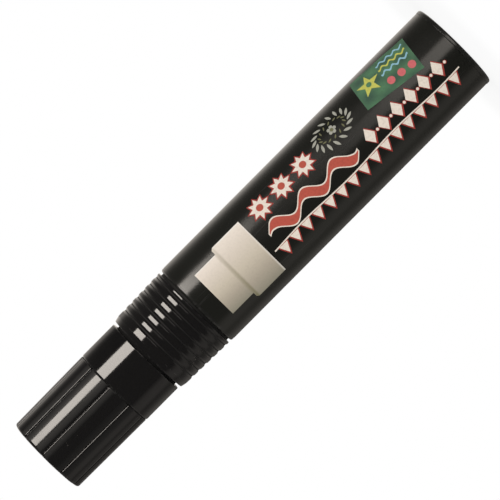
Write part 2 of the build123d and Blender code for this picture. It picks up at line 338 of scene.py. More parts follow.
class Effect(Graph):
    """A surface effect that several finishes share, as a shader node group with named sockets."""

    name = "effect"
    inputs: Mapping[str, float] = {}
    outputs: Sequence[str] = ()

    def __init__(self) -> None:
        """Make the group, its sockets and its nodes."""
        super().__init__(bpy.data.node_groups.new(self.name, "ShaderNodeTree"))
        add = self.tree.interface.new_socket
        add("Vector", in_out="INPUT", socket_type="NodeSocketVector")
        for name, value in self.inputs.items():
            add(name, in_out="INPUT", socket_type="NodeSocketFloat").default_value = value
        for name in self.outputs:
            add(name, in_out="OUTPUT", socket_type="NodeSocketFloat")
        self.given = self.add("NodeGroupInput").outputs
        self.put("NodeGroupOutput", self.results())

    def results(self) -> Sources:
        """Add the effect's nodes and give the socket for each named output."""
        raise NotImplementedError

    def spots(self, scale: str, detail: float) -> Socket:
        """Read a noise by the name of its scale and its finer layers."""
        return self.noise(self.given["Vector"], self.given[scale], detail)


@lru_cache(maxsize=None)
def shared(kind: type[Effect]) -> Effect:
    """Give the one group of an effect, made on first use."""
    return kind()


class MouldedSkin(Effect):
    """Slow ripples and fine grain that a mould leaves on plastic."""

    name = "Moulded skin"
    inputs = {"Ripple Scale": 300.0, "Grain Scale": 4000.0}
    outputs = ("Height", "Tone")
    grain_height = 0.25

    def results(self) -> Sources:
        """Add ripples, which carry the height, to a finer grain."""
        ripple, grain = self.spots("Ripple Scale", detail=1.0), self.spots("Grain Scale", detail=3.0)
        return {"Height": self.times(grain, self.grain_height, ripple), "Tone": grain}


class HandlingMarks(Effect):
    """Smudges of fingers and fine hair scratches."""

    name = "Handling marks"
    inputs = {"Smudge Scale": 90.0, "Scratch Scale": 1600.0}
    outputs = ("Smudge", "Scratch")
    smudge_edges = (0.48, 0.72)
    scratch_edges = (0.68, 0.76)
    stretch = (1.0, 1.0, 0.035)
    slant = (0.12, -0.2, 0.0)

    def results(self) -> Sources:
        """Add broad soft patches, and streaks that run nearly along the marker.

        Returns:
            The masks of the smudges and the scratches.
        """
        smudge = self.span(self.spots("Smudge Scale", detail=4.0), *self.smudge_edges)
        along = self.stretched(self.given["Vector"], self.stretch, self.slant)
        streaks = self.noise(along, self.given["Scratch Scale"], detail=1.0)
        return {"Smudge": smudge, "Scratch": self.span(streaks, *self.scratch_edges)}


class EdgeWear(Effect):
    """Rubbed spots along the edges that a mesh marks with its edge attribute."""

    name = "Edge wear"
    inputs = {"Break Scale": 700.0}
    outputs = ("Wear",)
    spot_edges = (0.45, 0.7)

    def results(self) -> Sources:
        """Break the marked edges up with noise."""
        spots = self.span(self.spots("Break Scale", detail=3.0), *self.spot_edges)
        return {"Wear": self.times(self.mark(EDGE), spots)}


class ChalkDust(Effect):
    """Small pale specks of dried chalk, gathered in loose patches."""

    name = "Chalk dust"
    inputs = {"Speck Scale": 900.0, "Patch Scale": 70.0}
    outputs = ("Dust",)
    speck_edges = (0.06, 0.2)
    patch_edges = (0.55, 0.75)

    def results(self) -> Sources:
        """Keep the middles of cells, where a slower noise lets them show.

        Returns:
            The mask of the specks.
        """
        sources = {"Vector": self.given["Vector"], "Scale": self.given["Speck Scale"]}
        cells = self.put("ShaderNodeTexVoronoi", sources)["Distance"]
        patch = self.span(self.spots("Patch Scale", detail=2.0), *self.patch_edges)
        return {"Dust": self.times(self.span(cells, *self.speck_edges, 1.0, 0.0), patch)}


@dataclass(frozen=True)
class Finish:
    """A surface that pieces are dressed in."""

    name: str
    slot: Slot  # Slot of the record; not used

    def material(self) -> bpy.types.Material:
        """Give the finish's material, made on first use.

        Returns:
            The material.
        """
        made = bpy.data.materials.get(self.name)
        if made is None:
            made = bpy.data.materials.new(self.name)
            made.use_nodes = True
            graph = Graph(made.node_tree)
            graph.feed(made.node_tree.nodes["Principled BSDF"], self.looks(graph))
        return made

    def looks(self, graph: Graph) -> Sources:
        """Add the surface's nodes to its material's tree and give what feeds the shader."""
        raise NotImplementedError


@dataclass(frozen=True)
class MouldedPlastic(Finish):
    """Moulded plastic or rubber with a faint skin, handling marks, rubbed edges and specks of chalk."""

    colour: Colour
    worn: Colour  # Colour of rubbed edges
    roughness: float  # Where it is clean
    dull: float = 0.85  # Roughness of the grime that a mesh marks
    smudge: float = 0.04  # Roughness that smudges, scratches and wear add
    wear: float = 0.35
    dust: float = 0.1
    skin: float = 0.001

    grain_tint = 0.12

    def looks(self, graph: Graph) -> Sources:
        """Give the plastic its colour, roughness and skin.

        Args:
            graph: The material's tree.

        Returns:
            What feeds the shader.
        """
        place = graph.surface()
        skin = graph.effect(MouldedSkin, place)
        marks = graph.effect(HandlingMarks, place)
        wear = graph.effect(EdgeWear, place)["Wear"]
        dust = graph.effect(ChalkDust, place)["Dust"]
        tone = graph.mix(self.colour, blend(self.colour, self.worn, self.grain_tint), skin["Tone"])
        rubbed = graph.mix(tone, self.worn, graph.times(wear, self.wear))
        dusty = graph.mix(rubbed, Ink.CREAM.value, graph.times(dust, self.dust))
        rough: Source = self.roughness
        for mask in (marks["Smudge"], marks["Scratch"], wear):
            rough = graph.times(mask, self.smudge, rough)
        rough = graph.times(graph.mark(DULL), self.dull, rough)
        return {"Base Color": dusty, "Roughness": rough, "Normal": graph.bump(skin["Height"], self.skin)}


@dataclass(frozen=True)
class PrintedFilm(Finish):
    """Satin black film that is a little smoother at both ends than under the print."""

    colour: Colour
    worn: Colour  # Colour of scratches
    length: float  # Height of the front end
    bands: tuple[Point, ...]  # Share of that height, and roughness there
    scuff: float = 0.12
    dust: float = 0.06
    smudge: float = 0.03  # Roughness that smudges add
    weave: float = 0.0012  # Depth of the film's fine texture

    def looks(self, graph: Graph) -> Sources:
        """Give the film its colour, its bands of roughness and its fine texture.

        Args:
            graph: The material's tree.

        Returns:
            What feeds the shader.
        """
        place = graph.surface()
        height = graph.parted(place)["Z"]
        band = graph.steps(graph.math("DIVIDE", height, self.length * MM), self.bands)
        skin = graph.effect(MouldedSkin, place, {"Grain Scale": 5200.0})
        marks = graph.effect(HandlingMarks, place, {"Smudge Scale": 60.0})
        dust = graph.effect(ChalkDust, place, {"Speck Scale": 1100.0})["Dust"]
        scuffed = graph.mix(self.colour, self.worn, graph.times(marks["Scratch"], self.scuff))
        dusty = graph.mix(scuffed, Ink.ASH.value, graph.times(dust, self.dust))
        rough = graph.times(marks["Smudge"], self.smudge, band)
        return {"Base Color": dusty, "Roughness": rough, "Normal": graph.bump(skin["Height"], self.weave)}


@dataclass(frozen=True)
class ChalkPrint(Finish):
    """Matt printing ink whose colour each mesh carries in its ink attribute."""

    roughness: float
    mottle: float = 0.12  # Strength of the uneven inking
    specks: float = 0.18  # Strength of the bare specks
    grain: float = 0.1  # Roughness that the grain adds
    depth: float = 0.002  # Depth of the ink's fine texture

    thin_edges = (0.55, 0.85)

    def looks(self, graph: Graph) -> Sources:
        """Give the ink its colour, broken up a little.

        Args:
            graph: The material's tree.

        Returns:
            What feeds the shader.
        """
        place = graph.surface()
        skin = graph.effect(MouldedSkin, place, {"Ripple Scale": 1500.0})
        dust = graph.effect(ChalkDust, place, {"Speck Scale": 2600.0, "Patch Scale": 300.0})["Dust"]
        thin = graph.span(skin["Height"], *self.thin_edges, 0.0, self.mottle)
        uneven = graph.mix(graph.mark(INK, "Color"), Ink.FILM.value, thin)
        specked = graph.mix(uneven, Ink.FILM.value, graph.times(dust, self.specks))
        rough = graph.times(skin["Tone"], self.grain, self.roughness)
        return {"Base Color": specked, "Roughness": rough, "Normal": graph.bump(skin["Height"], self.depth)}


@dataclass(frozen=True)
class PressedFibre(Finish):
    """Pressed polyester fibre, with strands that run along the nib."""

    colour: Colour
    gap: Colour  # Colour between the strands
    soak: Colour  # Colour of the inked end
    tip: float  # Height of the writing edge
    reach: Point  # Setbacks from it where the inked end starts and is full
    waver: float = 0.6  # How far the start of the inked end wavers
    soaked: float = 0.6  # Strength of the inked end
    depth: float = 0.05

    stretch = (1.0, 1.0, 0.12)
    strand_scale = 5200.0
    strand_edges = (0.3, 0.6)
    felt_scale = 2400.0
    felt_edges = (0.58, 0.8)
    felt_tint = 0.35
    felt_height = 0.6
    rough_edges = (0.2, 0.8)
    rough_levels = (0.95, 0.82)

    def looks(self, graph: Graph) -> Sources:
        """Give the fibre its strands and its soaked end.

        Args:
            graph: The material's tree.

        Returns:
            What feeds the shader.
        """
        place = graph.surface()
        strand = graph.noise(graph.stretched(place, self.stretch), self.strand_scale, detail=3.0)
        felt = graph.noise(place, self.felt_scale, detail=4.0)
        grain = graph.effect(MouldedSkin, place, {"Ripple Scale": 420.0})["Tone"]
        wavy = graph.times(grain, self.waver * MM, graph.parted(place)["Z"])
        soaked = graph.span(wavy, *((self.tip - setback) * MM for setback in self.reach))
        body = graph.mix(self.gap, self.colour, graph.span(strand, *self.strand_edges))
        patchy = graph.mix(body, self.gap, graph.span(felt, *self.felt_edges, 0.0, self.felt_tint))
        inked = graph.mix(patchy, self.soak, graph.times(soaked, self.soaked))
        rough = graph.span(felt, *self.rough_edges, *self.rough_levels)
        relief = graph.times(felt, self.felt_height, strand)
        return {"Base Color": inked, "Roughness": rough, "Normal": graph.bump(relief, self.depth)}


@dataclass(frozen=True)
class Steel(Finish):
    """Bare steel with fine drawing or polishing streaks."""

    colour: Colour
    dull: Colour  # Colour of the streaks
    roughness: float
    streak: float  # Roughness that the streaks add
    stretch: Place  # Factor for each axis
    depth: float = 0.002

    slant = (0.3, 0.2, 0.0)
    streak_scale = 6000.0
    streak_edges = (0.45, 0.75)

    def looks(self, graph: Graph) -> Sources:
        """Give the metal its streaks.

        Args:
            graph: The material's tree.

        Returns:
            What feeds the shader.
        """
        place = graph.surface()
        along = graph.stretched(place, self.stretch, self.slant)
        streaks = graph.noise(along, self.streak_scale, detail=3.0)
        smudge = graph.effect(HandlingMarks, place, {"Smudge Scale": 400.0})["Smudge"]
        colour = graph.mix(self.colour, self.dull, graph.span(streaks, *self.streak_edges))
        rough: Source = self.roughness
        for mask in (smudge, streaks):
            rough = graph.times(mask, self.streak, rough)
        normal = graph.bump(streaks, self.depth)
        return {"Base Color": colour, "Roughness": rough, "Normal": normal, "Metallic": 1.0}


@dataclass(frozen=True)
class Span:
    """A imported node's reach from the axis and its ends along it."""

    radius: float  # Reach from the axis
    low: float
    high: float

    @classmethod
    def of(cls, node: str) -> "Span":
        """Read a node's span from the frame."""
        low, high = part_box(node)
        return cls(high.x / MM, low.z / MM, high.z / MM)


POLISHED_BLACK = MouldedPlastic(
    "Polished black plastic", Slot.GLOSS_BLACK, srgb(17, 16, 16), srgb(70, 68, 66), 0.085, skin=0.0004
)
SATIN_BLACK = MouldedPlastic(
    "Satin black plastic", Slot.BARREL_BLACK, srgb(28, 28, 25), srgb(66, 64, 62), 0.2, smudge=0.05
)
BLACK_SEAL = MouldedPlastic(
    "Black seal rubber", Slot.SEAL_RUBBER, srgb(17, 17, 17), srgb(40, 40, 40), 0.7, wear=0.2, skin=0.004
)
PALE_PLASTIC = MouldedPlastic(
    "Natural pale plastic", Slot.HOLDER_WHITE, srgb(229, 223, 209), srgb(206, 198, 180), 0.42, dust=0.5
)
LINER_PLASTIC = MouldedPlastic(
    "Soft liner plastic", Slot.LINER_WHITE, srgb(226, 226, 223), srgb(204, 204, 200), 0.48, dust=0.5
)
BLACK_FILM = PrintedFilm(
    "Printed black film",
    Slot.PRINTED_FILM,
    srgb(29, 29, 25),
    srgb(80, 78, 76),
    length=Span.of("printed_sleeve").high,
    bands=((0.0, 0.19), (0.2, 0.21), (0.9, 0.21), (1.0, 0.18)),
)
CHALK_PRINT = ChalkPrint("Chalk print ink", Slot.PRINTED_FILM, 0.8)
SMOOTH_PRINT = ChalkPrint("Smooth print ink", Slot.PRINTED_FILM, 0.7, mottle=0.04, specks=0.03)
CREAM_FIBRE = PressedFibre(
    "Cream pressed fibre",
    Slot.NIB_FIBRE,
    srgb(233, 223, 202),
    srgb(196, 184, 158),
    srgb(243, 238, 226),
    tip=Span.of("nib").high,
    reach=(6.0, 1.5),
)
SPRING_WIRE = Steel(
    "Drawn spring wire",
    Slot.SPRING_STEEL,
    srgb(203, 203, 207),
    srgb(150, 150, 154),
    roughness=0.2,
    streak=0.14,
    stretch=(1.0, 1.0, 0.3),
)
BALL_STEEL = Steel(
    "Polished ball steel",
    Slot.BALL_STEEL,
    srgb(216, 216, 219),
    srgb(188, 188, 192),
    roughness=0.06,
    streak=0.06,
    stretch=(0.4, 1.0, 1.0),
)


@dataclass(frozen=True)
class Corner:
    """A corner of a turned outline."""

    radius: float
    height: float
    bend: float = 0.08  # Radius of its round
    rule: float = 0.0  # How far a shape rule acts here, from 0 to 1
    dull: float = 0.0  # How much grime lies here, from 0 to 1
    rows: int = 0  # Rings on the run to the next corner


class Station(NamedTuple):
    """A ring of vertices on a turned mesh: its place, and its marks for edges, rules and grime."""

    radius: float
    height: float
    edge: float
    rule: float
    dull: float


@dataclass(frozen=True)
class Outline:
    """Half section of a turned solid, walked from corner to corner.

    An open outline starts and ends on the axis. A closed one goes round a ring.
    """

    corners: Sequence[Corner]
    closed: bool

    arc_step = math.radians(15)
    support = 0.12
    shortest_run = 4 * support
    longest_reach = 0.45

    def stations(self) -> list[Station]:
        """Round the corners and fill the runs between them.

        Returns:
            The rings of vertices along the outline.
        """
        count = len(self.corners)
        rounds = [self.round_off(index) for index in range(count)]
        found: list[Station] = []
        for index, arc in enumerate(rounds):
            found += arc
            if self.closed or index < count - 1:
                found += self.run(arc[-1], rounds[(index + 1) % count][0], self.corners[index].rows)
        return found

    def round_off(self, index: int) -> list[Station]:
        """Round a corner.

        Args:
            index: Number of the corner.

        Returns:
            Stations along the round, or one on a corner that stays as it is.
        """
        corner = self.corners[index]
        ends_here = not self.closed and index in (0, len(self.corners) - 1)
        if ends_here or corner.bend == 0:
            return [Station(corner.radius, corner.height, 0.0, corner.rule, corner.dull)]
        here = Vector((corner.radius, corner.height))
        before = self.corners[index - 1]
        after = self.corners[(index + 1) % len(self.corners)]
        back = Vector((before.radius, before.height)) - here
        ahead = Vector((after.radius, after.height)) - here
        half = back.angle(ahead) / 2
        reach = min(corner.bend / math.tan(half), self.longest_reach * min(back.length, ahead.length))
        radius = reach * math.tan(half)
        centre = here + (back.normalized() + ahead.normalized()).normalized() * radius / math.sin(half)
        first = here + back.normalized() * reach - centre
        last = here + ahead.normalized() * reach - centre
        start = math.atan2(first.y, first.x)
        sweep = (math.atan2(last.y, last.x) - start + math.pi) % TURN - math.pi
        steps = max(2, math.ceil(abs(sweep) / self.arc_step))
        found = []
        for step in range(steps + 1):
            x, z = polar(radius, start + sweep * step / steps)
            found.append(Station(centre.x + x, centre.y + z, 1.0, corner.rule, corner.dull))
        return found

    def run(self, start: Station, end: Station, rows: int) -> list[Station]:
        """Place rings on a straight run, with one close to each end to keep its shading flat.

        Args:
            start: Station where the run starts.
            end: Station where it ends.
            rows: Further rings between them.

        Returns:
            The stations between the two.
        """
        length = math.hypot(end.radius - start.radius, end.height - start.height)
        if length < self.shortest_run:
            return []
        shares = [self.support / length, 1 - self.support / length]
        shares += [(row + 1) / (rows + 1) for row in range(rows)]
        return [
            Station(*(between(a, b, share) for a, b in zip(start, end)))._replace(edge=0.0)
            for share in sorted(shares)
        ]

    def turned(self, name: str, angles: Sequence[float]) -> Piece:
        """Turn the outline about the marker's axis.

        Args:
            name: Name of the piece.
            angles: Angles of the vertices round the axis, in order.

        Returns:
            A closed smooth piece with the edge, rule and dull attributes.
        """
        vertices: list[Place] = []
        marks: list[Station] = []
        rings: list[Sequence[int]] = []
        for station in self.stations():
            round_axis = angles if station.radius > 0 else angles[:1]
            rings.append(range(len(vertices), len(vertices) + len(round_axis)))
            for angle in round_axis:
                vertices.append((*polar(station.radius, angle), station.height))
                marks.append(station)
        piece = solid(name, vertices, bridged([*rings, rings[0]] if self.closed else rings))
        for mark in (EDGE, RULE, DULL):
            values = [getattr(station, mark) for station in marks]
            piece.data.attributes.new(mark, "FLOAT", "POINT").data.foreach_set("value", values)
        return piece


def bridged(rings: Sequence[Sequence[int]]) -> list[Sequence[int]]:
    """Join rings of vertices with faces.

    Args:
        rings: The vertices of each ring in order, one alone where it lies on the axis.

    Returns:
        The vertices of each face.
    """
    faces: list[Sequence[int]] = []
    for low, high in zip(rings, rings[1:]):
        count = max(len(low), len(high))
        for index in range(count):
            after = (index + 1) % count
            if len(low) == 1:
                faces.append((low[0], high[after], high[index]))
            elif len(high) == 1:
                faces.append((low[index], low[after], high[0]))
            else:
                faces.append((low[index], low[after], high[after], high[index]))
    return faces


def solid(name: str, vertices: Sequence[Place], faces: Sequence[Sequence[int]], weld: float = 0.0) -> Piece:
    """Make a closed piece whose faces look outwards and are shaded smooth.

    Args:
        name: Name of the piece.
        vertices: Its vertices, in millimetres.
        faces: The vertices of each face.
        weld: Distance within which vertices become one, if any do.

    Returns:
        The piece.
    """
    mesh = bpy.data.meshes.new(name)
    mesh.from_pydata([(x * MM, y * MM, z * MM) for x, y, z in vertices], [], faces)
    work = bmesh.new()
    work.from_mesh(mesh)
    if weld:
        bmesh.ops.remove_doubles(work, verts=work.verts, dist=weld * MM)
        bmesh.ops.dissolve_degenerate(work, edges=work.edges, dist=weld * MM)
    bmesh.ops.recalc_face_normals(work, faces=work.faces)
    work.to_mesh(mesh)
    work.free()
    mesh.shade_smooth()
    return add_object(name, mesh)


def even_angles(count: int) -> list[float]:
    """Give angles that share a full turn evenly."""
    return [TURN * index / count for index in range(count)]


def add_object(name: str, mesh: Mesh) -> Piece:
    """Put a mesh in the scene.

    Args:
        name: Name of the object.
        mesh: Its mesh, in the row frame.

    Returns:
        The new object.
    """
    piece = bpy.data.objects.new(name, mesh)
    bpy.context.scene.collection.objects.link(piece)
    return piece


class Rule(Graph):
    """A Geometry Nodes tree with named inputs that shapes or repeats a mesh."""

    def __init__(self, name: str) -> None:
        """Make the tree with its geometry and material sockets.

        Args:
            name: Name of the tree.
        """
        tree = bpy.data.node_groups.new(name, "GeometryNodeTree")
        tree.is_modifier = True
        for title, side in (("Geometry", "INPUT"), ("Material", "INPUT"), ("Geometry", "OUTPUT")):
            tree.interface.new_socket(title, in_out=side, socket_type=f"NodeSocket{title}")
        super().__init__(tree)
        self.given = self.add("NodeGroupInput").outputs

    def size(self, name: str, kind: str = "Float", value: Optional[float] = None) -> Socket:
        """Add a named input.

        Args:
            name: Name of the input.
            kind: Float, Int or Vector.
            value: Its value where a piece sets none, if not zero.

        Returns:
            The socket to read it from.
        """
        made = self.tree.interface.new_socket(name, in_out="INPUT", socket_type=f"NodeSocket{kind}")
        if value is not None:
            made.default_value = value
        return self.given[name]

    def sizes(self, *names: str) -> list[Socket]:
        """Add named numbers as inputs."""
        return [self.size(name) for name in names]

    def place(self) -> tuple[Socket, Socket, Socket]:
        """Give the three coordinates of each point."""
        return tuple(self.parted(self.add("GeometryNodeInputPosition").outputs[0]))

    def vector(self, x: Source, y: Source, z: Source) -> Socket:
        """Join three numbers to a vector."""
        return self.put("ShaderNodeCombineXYZ", {0: x, 1: y, 2: z})[0]

    def named(self, name: str) -> Socket:
        """Give a named attribute of each point."""
        return self.put("GeometryNodeInputNamedAttribute", {"Name": name}, data_type="FLOAT")["Attribute"]

    def dulled(self, geometry: Source, grime: Source) -> Socket:
        """Store grime on each point where it is more than the grime there.

        Args:
            geometry: The geometry.
            grime: New grime, before the rule attribute's share.

        Returns:
            The marked geometry.
        """
        most = self.math("MAXIMUM", self.named(DULL), self.times(grime, self.named(RULE)))
        sources = {"Geometry": geometry, "Name": DULL, "Value": most}
        return self.put("GeometryNodeStoreNamedAttribute", sources, data_type="FLOAT", domain="POINT")[0]

    def moved(self, geometry: Source, key: str, vector: Source) -> Socket:
        """Move points to new places by the key Position, or by shifts with Offset."""
        return self.put("GeometryNodeSetPosition", {"Geometry": geometry, key: vector})[0]

    def pulled_in(self, cut: Source) -> Socket:
        """Pull each point of the given mesh towards the axis.

        Args:
            cut: How far each point comes in, before the rule attribute's share.

        Returns:
            The moved geometry.
        """
        x, y, _ = self.place()
        reach = self.math("SQRT", self.times(x, x, self.times(y, y)))
        inwards = self.times(cut, self.times(self.named(RULE), -1.0))
        factor = self.math("DIVIDE", inwards, reach)
        shift = self.vector(self.times(x, factor), self.times(y, factor), 0.0)
        return self.moved(self.given["Geometry"], "Offset", shift)

    def real(self, geometry: Source) -> Socket:
        """Make plain geometry of instances."""
        return self.put("GeometryNodeRealizeInstances", {0: geometry})[0]

    def close(self, geometry: Source) -> None:
        """End the tree in plain geometry with its material."""
        sources = {"Geometry": self.real(geometry), "Material": self.given["Material"]}
        self.put("NodeGroupOutput", {0: self.put("GeometryNodeSetMaterial", sources)[0]})

    def run(self, piece: Piece, finish: Finish, sizes: Sources) -> Piece:
        """Run the tree on an object and keep the result as its plain mesh.

        Args:
            piece: The object whose mesh is the tree's geometry.
            finish: Finish of the result.
            sizes: Values for the named inputs, in metres and radians.

        Returns:
            The same object.
        """
        values = {"Material": finish.material(), **sizes}
        modifier = piece.modifiers.new(self.tree.name, "NODES")
        modifier.node_group = self.tree
        for item in self.tree.interface.items_tree:
            if item.in_out == "INPUT" and item.name in values:
                modifier[item.identifier] = values[item.name]
        graph = bpy.context.evaluated_depsgraph_get()
        result = bpy.data.meshes.new_from_object(
            piece.evaluated_get(graph), preserve_all_data_layers=True, depsgraph=graph
        )
        piece.modifiers.remove(modifier)
        piece.data = result
        return piece


class LobeRule(Rule):
    """Cuts a turned cap into rounded lobes with matt flanks and a fine groove between each two."""

    flank_edges = (0.25, 0.6)
    valley_edges = (0.76, 0.9)

    def __init__(self) -> None:
        """Build the tree."""
        super().__init__("Cap lobes")
        count, phase, crest, lobe = self.sizes("Lobe Count", "Phase", "Crest Radius", "Lobe Radius")
        depth, groove, matt = self.sizes("Groove Depth", "Groove Half", "Flank Matt")
        x, y, _ = self.place()
        half = self.math("DIVIDE", math.pi, count)
        turned = self.math("SUBTRACT", self.math("ARCTAN2", y, x), phase)
        angle = self.math("WRAP", turned, half, self.times(half, -1.0))
        centre = self.math("SUBTRACT", crest, lobe)
        beside = self.times(centre, self.math("SINE", angle))
        square = self.math("SUBTRACT", self.math("POWER", lobe, 2.0), self.math("POWER", beside, 2.0))
        along = self.times(centre, self.math("COSINE", angle), self.math("SQRT", square))
        fall = self.math("SUBTRACT", crest, along)
        off_crest = self.math("ABSOLUTE", angle)
        from_valley = self.times(self.math("SUBTRACT", half, off_crest), crest)
        away = self.math("MINIMUM", self.math("DIVIDE", from_valley, groove), 1.0)
        near = self.math("SUBTRACT", 1.0, away)
        slope = self.times(near, -2.0, 3.0)
        ease = self.times(self.math("POWER", near, 2.0), slope)
        cut = self.pulled_in(self.times(depth, ease, fall))
        aside = self.math("DIVIDE", off_crest, half)
        valley = self.span(aside, *self.valley_edges, 1.0, 0.0)
        flank = self.times(self.span(aside, *self.flank_edges), valley)
        self.close(self.dulled(cut, self.times(flank, matt)))


class RingRule(Rule):
    """Cuts evenly spaced grooves round a turned grip and marks the grime in them."""

    grime_power = 6.0

    def __init__(self) -> None:
        """Build the tree."""
        super().__init__("Grip rings")
        count, first, pitch = self.sizes("Ring Count", "First Ring", "Pitch")
        width, depth, shape = self.sizes("Width", "Depth", "Shape")
        _, _, z = self.place()
        behind = self.math("DIVIDE", self.math("SUBTRACT", first, z), pitch)
        last = self.math("SUBTRACT", count, 1.0)
        ring = self.math("MINIMUM", self.math("MAXIMUM", self.math("ROUND", behind), 0.0), last)
        distance = self.math("ABSOLUTE", self.times(self.math("SUBTRACT", behind, ring), pitch))
        half = self.times(width, 0.5)
        aside = self.math("MINIMUM", self.math("DIVIDE", distance, half), 1.0)
        hollow = self.math("SUBTRACT", 1.0, self.math("POWER", aside, shape))
        cut = self.pulled_in(self.times(depth, hollow))
        self.close(self.dulled(cut, self.math("POWER", hollow, self.grime_power)))


class CoilRule(Rule):
    """Winds a round wire into a coil with close end turns."""

    turn_points = 48.0
    wire_sides = 14

    def __init__(self) -> None:
        """Build the tree."""
        super().__init__("Valve coil")
        base, radius, wire = self.sizes("Base", "Coil Radius", "Wire Radius")
        end_turns, open_turns = self.sizes("End Turns", "Open Turns")
        end_pitch, open_pitch = self.sizes("End Pitch", "Open Pitch")
        turns = self.times(end_turns, 2.0, open_turns)
        count = self.times(turns, self.turn_points)
        line = self.add("GeometryNodeCurvePrimitiveLine").outputs[0]
        fine = self.put("GeometryNodeResampleCurve", {"Curve": line, "Count": count})[0]
        turn = self.math("DIVIDE", self.add("GeometryNodeInputIndex").outputs[0], self.turn_points)
        first = self.math("MINIMUM", turn, end_turns)
        beyond = self.math("SUBTRACT", turn, end_turns)
        middle = self.math("MINIMUM", self.math("MAXIMUM", beyond, 0.0), open_turns)
        last = self.math("MAXIMUM", self.math("SUBTRACT", beyond, open_turns), 0.0)
        end_rise = self.times(self.math("ADD", first, last), end_pitch)
        rise = self.times(middle, open_pitch, end_rise)
        angle = self.times(turn, TURN)
        path = self.vector(
            self.times(radius, self.math("COSINE", angle)),
            self.times(radius, self.math("SINE", angle)),
            self.math("ADD", base, rise),
        )
        curve = self.moved(fine, "Position", path)
        section = self.put(
            "GeometryNodeCurvePrimitiveCircle", {"Resolution": self.wire_sides, "Radius": wire}
        )[0]
        sources = {"Curve": curve, "Profile Curve": section, "Fill Caps": True}
        self.close(self.put("GeometryNodeCurveToMesh", sources)[0])


class NapRule(Rule):
    """Roughens a fibre block with a fine nap that runs along it."""

    squeeze = 0.22

    def __init__(self) -> None:
        """Build the tree."""
        super().__init__("Fibre nap")
        depth, scale = self.sizes("Depth", "Strand Scale")
        x, y, z = self.place()
        along = self.vector(x, y, self.times(z, self.squeeze))
        strands = self.noise(along, scale, detail=3.0)
        inwards = self.times(self.times(strands, depth), -1.0)
        normal = self.add("GeometryNodeInputNormal").outputs[0]
        shift = self.put("ShaderNodeVectorMath", {"Vector": normal, "Scale": inwards}, operation="SCALE")[0]
        self.close(self.moved(self.given["Geometry"], "Offset", shift))


class PrintRule(Rule):
    """Repeats a flat printed motif along a row or round a ring and wraps it on the barrel.

    On the flat label x runs towards the tail, y up the front and z off the film.
    """

    def __init__(self, layout: Layout) -> None:
        """Build the tree for one way of repeating.

        Args:
            layout: Along a row or round a ring.
        """
        super().__init__(f"Printed {layout.value}")
        self.count = self.size("Count", "Int", 1)
        self.start = self.size("Start", "Vector")
        tilt, radius, front = self.sizes("Tilt", "Film Radius", "Film Front")
        points, angle = self.row(tilt) if layout is Layout.ROW else self.ring(tilt)
        turn = self.vector(0.0, 0.0, angle)
        sources = {"Points": points, "Instance": self.given["Geometry"], "Rotation": turn}
        real = self.real(self.put("GeometryNodeInstanceOnPoints", sources)[0])
        x, y, z = self.place()
        round_film = self.math("DIVIDE", y, radius)
        reach = self.math("ADD", radius, z)
        ahead = self.times(reach, self.math("COSINE", round_film))
        wrapped = self.vector(
            self.times(reach, self.math("SINE", round_film)),
            self.times(ahead, -1.0),
            self.math("SUBTRACT", front, x),
        )
        self.close(self.moved(real, "Position", wrapped))

    def row(self, tilt: Socket) -> tuple[Socket, Socket]:
        """Place motifs along a row that sags in swags.

        Args:
            tilt: Angle of every motif.

        Returns:
            The points and the angle of each motif.
        """
        step, sag = self.size("Step", "Vector"), self.size("Sag")
        swag = self.size("Swag Length", value=1.0)
        sources = {"Count": self.count, "Start Location": self.start, "Offset": step}
        line = self.put("GeometryNodeMeshLine", sources, mode="OFFSET")[0]
        x, _, _ = self.place()
        wave = self.math("COSINE", self.times(self.math("DIVIDE", x, swag), TURN))
        hung = self.vector(0.0, self.times(wave, sag), 0.0)
        return self.moved(line, "Offset", hung), tilt

    def ring(self, tilt: Socket) -> tuple[Socket, Socket]:
        """Place motifs round an oval ring, each turned with it.

        Args:
            tilt: Angle of a motif against the ring.

        Returns:
            The points and the angle of each motif.
        """
        reach, aspect = self.sizes("Ring Radius", "Ring Aspect")
        circle = self.put("GeometryNodeMeshCircle", {"Vertices": self.count, "Radius": reach})[0]
        x, y, _ = self.place()
        oval = self.moved(circle, "Position", self.vector(self.times(x, aspect), y, 0.0))
        index = self.add("GeometryNodeInputIndex").outputs[0]
        angle = self.times(self.math("DIVIDE", index, self.count), TURN)
        return self.moved(oval, "Offset", self.start), self.math("ADD", angle, tilt)


def seated(piece: Piece, body: Body, finish: Finish, *nodes: str) -> Piece:
    """Let a finished piece ride its body.

    Args:
        piece: The piece.
        body: The body that it moves with.
        finish: Finish that it is dressed in.
        *nodes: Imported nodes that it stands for.

    Returns:
        The same piece.
    """
    if not piece.data.materials:
        piece.data.materials.append(finish.material())
    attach(piece, body.value)
    if nodes:
        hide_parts(*nodes)
    return piece


def dressed(node: str, finish: Finish) -> Piece:
    """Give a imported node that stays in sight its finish.

    Args:
        node: Name of the node.
        finish: The finish.

    Returns:
        The node's object.
    """
    piece = frame["nodes"][node]
    piece.data.materials.clear()
    piece.data.materials.append(finish.material())
    return piece


@dataclass(frozen=True)
class Patch:
    """A patch of ink on the flat label."""

    outline: Sequence[Point]
    paint: Paint  # Colour at each point
    layer: int = 0  # Printing pass, from 0


